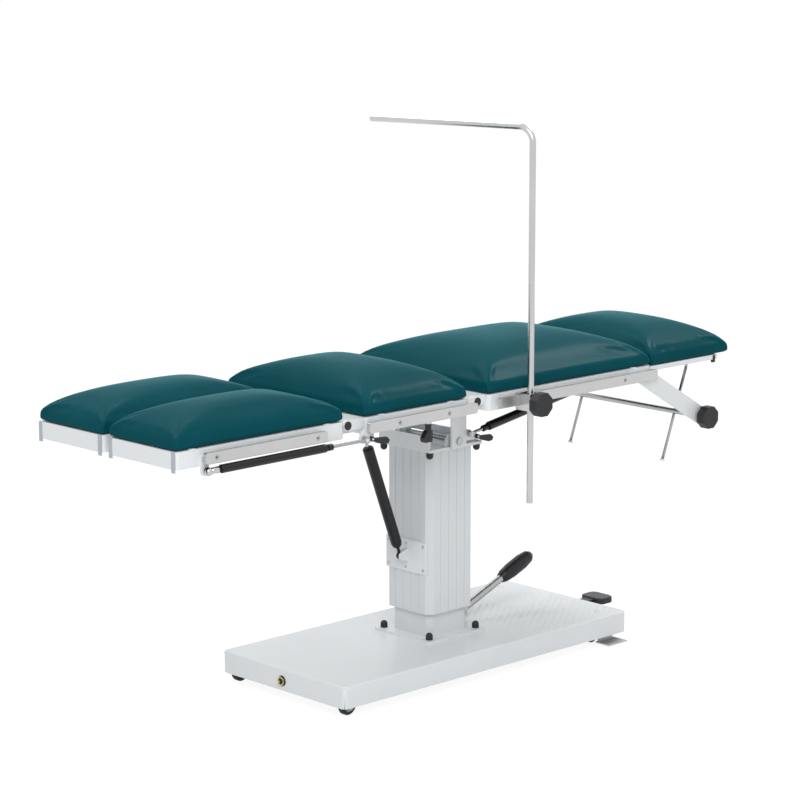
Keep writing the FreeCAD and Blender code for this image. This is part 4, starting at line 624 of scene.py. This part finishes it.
def screw_head(name, place, normal, radius, body, material):
    """A low screw head with a round socket, its face along a normal."""
    bm = bmesh.new()
    bmesh.ops.create_circle(bm, cap_ends=True, radius=radius, segments=24)
    bm.faces.ensure_lookup_table()
    face = bm.faces[0]
    bmesh.ops.recalc_face_normals(bm, faces=[face])
    rim = bmesh.ops.extrude_face_region(bm, geom=[face])
    top = [item for item in rim["geom"] if isinstance(item, bmesh.types.BMVert)]
    bmesh.ops.translate(bm, verts=top, vec=(0, 0, SCREW_RISE))
    flat = max(bm.faces, key=lambda item: item.calc_center_median().z)
    bmesh.ops.inset_region(bm, faces=[flat], thickness=radius * 0.18, depth=0.3 * MM)
    flat = max(bm.faces, key=lambda item: item.calc_center_median().z)
    bmesh.ops.inset_region(bm, faces=[flat], thickness=radius * 0.32)
    rounds = [item for item in bm.faces if len(item.verts) > 4]
    flat = max(rounds, key=lambda item: item.calc_center_median().z)
    sunk = bmesh.ops.extrude_face_region(bm, geom=[flat])
    low = [item for item in sunk["geom"] if isinstance(item, bmesh.types.BMVert)]
    bmesh.ops.translate(bm, verts=low, vec=(0, 0, -SOCKET_DEPTH))
    bmesh.ops.delete(bm, geom=[flat], context="FACES")
    bmesh.ops.transform(bm, matrix=Matrix.Translation(place) @ aim(normal), verts=bm.verts[:])
    return finish_mesh(name, bm, body, material, smooth=False)


def socket_shade(name, place, normal, radius, body):
    """A dark disc at the bottom of a screw's socket: painted shade in the recess."""
    bm = bmesh.new()
    bmesh.ops.create_circle(bm, cap_ends=True, radius=radius, segments=12)
    lift = Matrix.Translation(Vector(normal) * SHADE_LIFT)
    place = Matrix.Translation(place) @ lift @ aim(normal)
    bmesh.ops.transform(bm, matrix=place, verts=bm.verts[:])
    return finish_mesh(name, bm, body, MATERIALS["cap_plastic"], smooth=False)


class TABLE_OT_screws(bpy.types.Operator):
    """Adds the screws of the side rails and of the spring plate, with a disc of painted shade in
    each rail screw's socket.
    """

    bl_idname = "table.screws"
    bl_label = "Screws"

    def execute(self, context):
        radius = context.scene.table_sizes.screw
        steel = MATERIALS["zinc_sheet"]
        rail_low, rail_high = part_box("seat_rails")
        height = (rail_low[2] + rail_high[2]) / 2
        face = abs(rail_low[1]) - SCREW_SINK
        for section, (body, middle, spread, sides) in RAIL_SCREWS.items():
            for side in sides:
                for end in (-1, 1):
                    place = Vector((middle + end * spread / 2, side * face, height))
                    name = f"{section}_rail_screw_{'near' if side < 0 else 'far'}_{end + 1}"
                    screw_head(name, place, (0, side, 0), radius, body, steel)
                    # each rail screw's socket gets a dark disc: painted shade in its recess
                    socket_shade(name + "_socket", place, (0, side, 0), radius * 0.42, body)
        plate_low, plate_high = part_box("tilt_spring_plate")
        middle = (plate_low[2] + plate_high[2]) / 2
        for column in (-1, 0, 1):
            for row in (-1, 1):
                place = Vector((PLATE_FACE, column * PLATE_SPREAD[0],
                                middle + row * PLATE_SPREAD[1]))
                screw_head(f"plate_screw_{column + 1}_{row + 1}", place, (-1, 0, 0),
                           PLATE_SCREW, "lift", steel)
        return {"FINISHED"}


# Trim

PAN_CORNER = 14 * MM       # radius of the pan's upright corners
PAN_DEPTH = 55 * MM
PIN_PLUG = 9 * MM          # radius of the discs over the kingpins
PIN_OFFSET = 19 * MM       # from the front of a castor's fork to its kingpin
HUB_SHARE = 0.66           # of a wheel's radius
NUT_SHARE = 0.24
STRIP_WIDTH = 13 * MM      # corner strips of the leg frames
STRIP_HEIGHT = 46.7 * MM
HEAD_ROD_Y = 165 * MM
HEAD_ROD_LEAN = math.radians(20.5)
FRAME_SPAN = (10 * MM, 250 * MM)   # a leg frame's two sides, from the table's middle
TREAD_TURN = math.radians(36)
TREAD_ROW = 17 * MM
TREAD_STEP = 8.4 * MM
TREAD_CENTRE = Vector((0.3, 0.0, 0.0))
TREAD_X = (0.165, 0.490)
TREAD_Y = (-0.205, 0.088)
SMOOTH_PATCH = (0.350, 0.050, 0.055)        # its middle and radius
STUD_FOOT = (3.2 * MM, 2.4 * MM, -0.2 * MM)  # half length, half width and level
STUD_TOP = (1.8 * MM, 1.3 * MM, 0.9 * MM)
CLIP_HALF = 7 * MM
CLIP_Y = (-251.6 * MM, -244 * MM)
PLUG_X = (0.806, 0.816)            # of the plug in the head frame
CLIPS = (
    ("near_leg", "near_leg_cushion", (-0.975, -0.575)), ("seat", "seat_cushion", (-0.404, -0.175)),
    ("back", "back_cushion", (0.482,)),
)


def add_block(bm, low, high):
    """Adds a box between two corners."""
    low, high = Vector(low), Vector(high)
    place = Matrix.Translation((low + high) / 2) @ Matrix.Diagonal((*(high - low), 1))
    bmesh.ops.create_cube(bm, size=1, matrix=place)


def add_round(bm, start, end, radius, tip=None, segments=32):
    """Adds a capped cylinder or cone between two points."""
    start, end = Vector(start), Vector(end)
    place = Matrix.Translation((start + end) / 2) @ aim(end - start)
    bmesh.ops.create_cone(bm, cap_ends=True, segments=segments, radius1=radius,
                          radius2=radius if tip is None else tip,
                          depth=(end - start).length, matrix=place)


def add_ball(bm, centre, radius):
    """Adds a small ball."""
    bmesh.ops.create_uvsphere(bm, u_segments=20, v_segments=12, radius=radius,
                              matrix=Matrix.Translation(centre))


def pan_corners():
    """Rounded corner welds that close the base pan's four corners from inside."""
    high = Vector(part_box("base_pan")[1])
    outer, inner = PAN_CORNER - 0.1 * MM, PAN_CORNER - 4 * MM
    foot, head = high.z - PAN_DEPTH + 0.4 * MM, high.z - 4 * MM
    profile = ((outer, foot), (outer, head), (inner, head), (inner, foot))
    bm = bmesh.new()
    for side_x in (-1, 1):
        for side_y in (-1, 1):
            hub = Vector(((high.x - PAN_CORNER) * side_x, (high.y - PAN_CORNER) * side_y, 0))
            rows = []
            for step in range(9):
                turn = math.radians(11.25 * step)
                ray = Vector((math.cos(turn) * side_x, math.sin(turn) * side_y, 0))
                rows.append([bm.verts.new(hub + ray * reach + Vector((0, 0, level)))
                             for reach, level in profile])
            for near, far in zip(rows, rows[1:]):
                for i in range(4):
                    bm.faces.new((near[i], near[i - 1], far[i - 1], far[i]))
            bm.faces.new(rows[0])
            bm.faces.new(list(reversed(rows[-1])))
    return finish_mesh("pan_corner_welds", bm, "chassis", MATERIALS["frame_paint"])


def kingpin_plugs():
    """Painted discs that close the kingpins' bores in the top of the base."""
    high = Vector(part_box("base_pan")[1])
    for side in ("near", "far"):
        low_fork, high_fork = (Vector(corner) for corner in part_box(f"{side}_head_castor_fork"))
        spot = Vector((high_fork.x - PIN_OFFSET, (low_fork.y + high_fork.y) / 2, high.z))
        bm = bmesh.new()
        add_round(bm, spot + Vector((0, 0, -0.3 * MM)), spot + Vector((0, 0, 0.4 * MM)),
                  PIN_PLUG, PIN_PLUG - 0.4 * MM)
        finish_mesh(f"{side}_kingpin_plug", bm, "chassis", MATERIALS["frame_paint"])


def tread_studs():
    """Rows of low studs on the part of the base where one stands to pump."""
    high = Vector(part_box("base_pan")[1])
    along = Vector((math.cos(TREAD_TURN), math.sin(TREAD_TURN), 0))
    across = Vector((-along.y, along.x, 0))
    ring = [Vector((math.cos(a), math.sin(a), 0)) for a in (math.tau * i / 8 for i in range(8))]
    bm = bmesh.new()
    for row in range(-60, 61):
        for step in range(-90, 91):
            shift = (step + row % 2 / 2) * TREAD_STEP
            spot = TREAD_CENTRE + across * (row * TREAD_ROW) + along * shift
            if not on_tread(spot):
                continue
            base, top = ([bm.verts.new(spot + along * (v.x * long) + across * (v.y * wide)
                                       + Vector((0, 0, high.z + level))) for v in ring]
                         for long, wide, level in (STUD_FOOT, STUD_TOP))
            for i in range(8):
                bm.faces.new((base[i - 1], base[i], top[i], top[i - 1]))
            bm.faces.new(top)
    return finish_mesh("tread_studs", bm, "chassis", MATERIALS["frame_paint"])


def on_tread(spot):
    """Whether a stud belongs at a spot: inside the field and off the smooth part by the lever."""
    x, y, reach = SMOOTH_PATCH
    smooth = (spot.x - x) ** 2 + (spot.y - y) ** 2 < reach ** 2
    return TREAD_X[0] < spot.x < TREAD_X[1] and TREAD_Y[0] < spot.y < TREAD_Y[1] and not smooth


def wheel_hubs():
    """Hub caps on the outer side of the four wheels."""
    for side, out in (("near", -1), ("far", 1)):
        for end in ("foot", "head"):
            name = f"{side}_{end}_wheel"
            low, high = (Vector(corner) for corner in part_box(name))
            centre = (low + high) / 2
            face = high.y if out > 0 else low.y
            radius = (high.z - low.z) / 2
            bm = bmesh.new()
            flat = Vector((centre.x, face, centre.z))
            step = Vector((0, out, 0))
            add_round(bm, flat - step * 1.0 * MM, flat + step * 0.5 * MM,
                      radius * HUB_SHARE, radius * (HUB_SHARE - 0.04))
            finish_mesh(name + "_hub", bm, name, MATERIALS["hub_grey"], smooth=False)
            bm = bmesh.new()
            add_round(bm, flat + step * 0.3 * MM, flat + step * 1.6 * MM,
                      radius * NUT_SHARE, radius * (NUT_SHARE - 0.04))
            finish_mesh(name + "_hub_nut", bm, name, MATERIALS["zinc_sheet"], smooth=False)


def corner_strips():
    """Plastic strips on the foot-end corners of the leg frames."""
    inner, outer = FRAME_SPAN
    for side in ("near", "far"):
        low, high = (Vector(corner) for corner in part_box(f"{side}_leg_frame"))
        first, last = (-outer, -inner) if side == "near" else (inner, outer)
        top = high.z - 0.3 * MM
        bm = bmesh.new()
        for start in (first + 3 * MM, last - 3 * MM - STRIP_WIDTH):
            add_block(bm, (low.x - 0.5 * MM, start, top - STRIP_HEIGHT),
                      (low.x + 1 * MM, start + STRIP_WIDTH, top))
        finish_mesh(f"{side}_leg_corner_strips", bm, f"{side}_leg",
                    MATERIALS["strip_grey"], smooth=False)


def cushion_clips():
    """Small tabs that hold the cushions' boards to the frames."""
    for body, node, places in CLIPS:
        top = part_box(node)[0][2]
        bm = bmesh.new()
        for x in places:
            add_block(bm, (x - CLIP_HALF, CLIP_Y[0], top - 1.5 * MM),
                      (x + CLIP_HALF, CLIP_Y[1], top + 2.2 * MM))
        finish_mesh(f"{body}_cushion_clips", bm, body, MATERIALS["frame_paint"],
                    smooth=False)


def spring_ends():
    """Bright ball joints at the foot ends of the two leg springs."""
    for side in ("near", "far"):
        low, high = (Vector(corner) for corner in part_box(f"{side}_leg_spring_cylinder"))
        middle = (low.y + high.y) / 2
        bm = bmesh.new()
        joint = Vector((low.x + 9 * MM, middle, low.z + 9 * MM))
        add_ball(bm, joint, 9.6 * MM)
        add_round(bm, joint, joint + Vector((38 * MM, 0, 1.1 * MM)), 7.2 * MM, 8.2 * MM)
        finish_mesh(f"{side}_leg_spring_joint", bm, f"{side}_leg_cylinder",
                    MATERIALS["clamp_chrome"])


def head_rod_sleeves():
    """Bare steel skins over the two rods of the head frame, which is painted otherwise."""
    low, high = (Vector(corner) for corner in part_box("head_crossbar"))
    centre = (low + high) / 2
    lean = Vector((math.sin(HEAD_ROD_LEAN), 0, math.cos(HEAD_ROD_LEAN)))
    bm = bmesh.new()
    for side in (-1, 1):
        pivot = Vector((centre.x, side * HEAD_ROD_Y, centre.z))
        add_round(bm, pivot - lean * 131 * MM, pivot + lean * 122 * MM, 4.15 * MM, 4.15 * MM, 20)
    return finish_mesh("head_rod_skins", bm, "head", MATERIALS["bright_rod"])


def small_fittings():
    """Ring of the earth terminal and the plug in the head frame."""
    low, high = (Vector(corner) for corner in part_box("earth_terminal"))
    middle = (low + high) / 2
    bm = bmesh.new()
    add_round(bm, (high.x + 0.5 * MM, middle.y, middle.z), (high.x - 2.4 * MM, middle.y, middle.z),
              13.5 * MM, 12.5 * MM)
    finish_mesh("earth_ring", bm, "chassis", MATERIALS["cap_plastic"],
                smooth=False)
    low, high = (Vector(corner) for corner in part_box("head_cushion"))
    bm = bmesh.new()
    add_block(bm, (PLUG_X[0], low.y - 0.5 * MM, low.z - 20 * MM),
              (PLUG_X[1], low.y + 6 * MM, low.z - 1 * MM))
    finish_mesh("head_frame_plug", bm, "head", MATERIALS["cap_plastic"],
                smooth=False)


class TABLE_OT_trim(bpy.types.Operator):
    """Adds studs, strips, hubs and other thin trim, and closes the base's corners and bores."""

    bl_idname = "table.trim"
    bl_label = "Trim"

    def execute(self, context):
        pan_corners()
        kingpin_plugs()
        tread_studs()
        wheel_hubs()
        corner_strips()
        cushion_clips()
        spring_ends()
        head_rod_sleeves()
        small_fittings()
        return {"FINISHED"}


# Stage

FLOOR_PALE, FLOOR_SEEN = 0.85, 0.14    # the floor's tone to the light and to the camera
FLOOR_GLOW = 0.92
WORLD_LIGHT, WORLD_SEEN = 0.62, 1.0

# Name, place, target, size and power
LIGHTS = (
    ("key_light", (-3.0, -3.0, 3.6), (0, 0, 0.5), (2.5, 2.5), 110),
    ("band_light", (3.4, 0.3, 3.9), (0, 0, 0.8), (1.6, 1.0), 70),
    ("top_light", (0.3, 2.2, 4.5), (0, 0, 0.6), (3.0, 2.0), 55),
)


def seen_ray(tree):
    """1 for rays from the camera, from mirrors and through glass, 0 for light that bounces."""
    path = tree.nodes.new("ShaderNodeLightPath")
    mirror = tree.nodes.new("ShaderNodeMath")
    mirror.operation = "MAXIMUM"
    seen = tree.nodes.new("ShaderNodeMath")
    seen.operation = "MAXIMUM"
    tree.links.new(path.outputs["Is Camera Ray"], mirror.inputs[0])
    tree.links.new(path.outputs["Is Glossy Ray"], mirror.inputs[1])
    tree.links.new(mirror.outputs[0], seen.inputs[0])
    tree.links.new(path.outputs["Is Transmission Ray"], seen.inputs[1])
    return seen.outputs[0]


def white_floor():
    """Floor that is white to the camera but for a faint shadow, and pale to the light."""
    material = bpy.data.materials.new("studio_floor")
    material.use_nodes = True
    tree = material.node_tree
    shader = tree.nodes["Principled BSDF"]
    shader.inputs["Roughness"].default_value = 1.0
    shader.inputs["Specular IOR Level"].default_value = 0.0
    seen = seen_ray(tree)
    tone = tree.nodes.new("ShaderNodeMapRange")
    tone.inputs["To Min"].default_value = FLOOR_PALE
    tone.inputs["To Max"].default_value = FLOOR_SEEN
    glow = tree.nodes.new("ShaderNodeEmission")
    glow.inputs["Color"].default_value = (1, 1, 1, 1)
    power = tree.nodes.new("ShaderNodeMath")
    power.operation = "MULTIPLY"
    power.inputs[1].default_value = FLOOR_GLOW
    both = tree.nodes.new("ShaderNodeAddShader")
    tree.links.new(seen, tone.inputs["Value"])
    tree.links.new(tone.outputs["Result"], shader.inputs["Base Color"])
    tree.links.new(seen, power.inputs[0])
    tree.links.new(power.outputs[0], glow.inputs["Strength"])
    tree.links.new(shader.outputs[0], both.inputs[0])
    tree.links.new(glow.outputs[0], both.inputs[1])
    tree.links.new(both.outputs[0], tree.nodes["Material Output"].inputs["Surface"])
    return material


def white_world():
    """White to the camera, in mirrors and through glass, a plain level elsewhere."""
    world = bpy.data.worlds.new("studio_world")
    world.use_nodes = True
    tree = world.node_tree
    back = tree.nodes["Background"]
    back.inputs["Color"].default_value = (1, 1, 1, 1)
    level = tree.nodes.new("ShaderNodeMapRange")
    level.inputs["To Min"].default_value = WORLD_LIGHT
    level.inputs["To Max"].default_value = WORLD_SEEN
    tree.links.new(seen_ray(tree), level.inputs["Value"])
    tree.links.new(level.outputs["Result"], back.inputs["Strength"])
    bpy.context.scene.world = world


def soft_light(name, place, target, size, power):
    """A square soft box aimed at a point."""
    data = bpy.data.lights.new(name, "AREA")
    data.shape = "RECTANGLE"
    data.size = size[0]
    data.size_y = size[1]
    data.energy = power
    lamp = bpy.data.objects.new(name, data)
    lamp.location = place
    lamp.rotation_euler = (Vector(target) - Vector(place)).to_track_quat("-Z", "Y").to_euler()
    bpy.context.scene.collection.objects.link(lamp)
    return lamp


class TABLE_OT_stage(bpy.types.Operator):
    """Adds the floor, lights, world and camera."""

    bl_idname = "table.stage"
    bl_label = "Stage"

    def execute(self, context):
        settings = context.scene.table_stage
        scene = context.scene
        bm = bmesh.new()
        bmesh.ops.create_grid(bm, x_segments=1, y_segments=1, size=40)
        mesh = bpy.data.meshes.new("floor")
        bm.to_mesh(mesh)
        bm.free()
        mesh.materials.append(white_floor())
        floor = bpy.data.objects.new("floor", mesh)
        scene.collection.objects.link(floor)
        white_world()
        for light in LIGHTS:
            soft_light(*light)
        data = bpy.data.cameras.new("photo_camera")
        data.sensor_fit = "HORIZONTAL"
        data.sensor_width = 36
        data.lens = settings.focal
        data.clip_end = 200
        camera = bpy.data.objects.new("photo_camera", data)
        scene.collection.objects.link(camera)
        turn, tilt = settings.azimuth, settings.elevation
        level = math.cos(tilt)
        back = Vector((math.sin(turn) * level, -math.cos(turn) * level, math.sin(tilt)))
        camera.location = Vector(settings.target) + back * settings.distance
        camera.rotation_euler = back.to_track_quat("Z", "Y").to_euler()
        scene.camera = camera
        scene.view_settings.view_transform = "Standard"
        return {"FINISHED"}


class TABLE_PT_panel(bpy.types.Panel):
    """Lists the steps that dress the table."""

    bl_label = "Operating Table"
    bl_idname = "TABLE_PT_panel"
    bl_space_type = "VIEW_3D"
    bl_region_type = "UI"
    bl_category = "Table"

    def draw(self, context):
        layout = self.layout
        for settings in (context.scene.table_finishes, context.scene.table_sizes,
                         context.scene.table_stage):
            for name in settings.bl_rna.properties.keys():
                if name not in {"rna_type", "name"}:
                    layout.prop(settings, name)
        for step in STEPS:
            layout.operator(step.bl_idname)


STEPS = (TABLE_OT_finishes, TABLE_OT_cushions, TABLE_OT_screws, TABLE_OT_trim, TABLE_OT_stage)
SETTINGS = (TableFinishes, TableSizes, StageSettings)


def register():
    for item in (*SETTINGS, *STEPS, TABLE_PT_panel):
        bpy.utils.register_class(item)
    bpy.types.Scene.table_finishes = bpy.props.PointerProperty(type=TableFinishes)
    bpy.types.Scene.table_sizes = bpy.props.PointerProperty(type=TableSizes)
    bpy.types.Scene.table_stage = bpy.props.PointerProperty(type=StageSettings)


def unregister():
    del bpy.types.Scene.table_stage
    del bpy.types.Scene.table_sizes
    del bpy.types.Scene.table_finishes
    for item in reversed((*SETTINGS, *STEPS, TABLE_PT_panel)):
        bpy.utils.unregister_class(item)


def main():
    register()
    bpy.ops.table.finishes()
    bpy.ops.table.cushions()
    bpy.ops.table.screws()
    bpy.ops.table.trim()
    bpy.ops.table.stage()


if __name__ == "__main__":
    main()
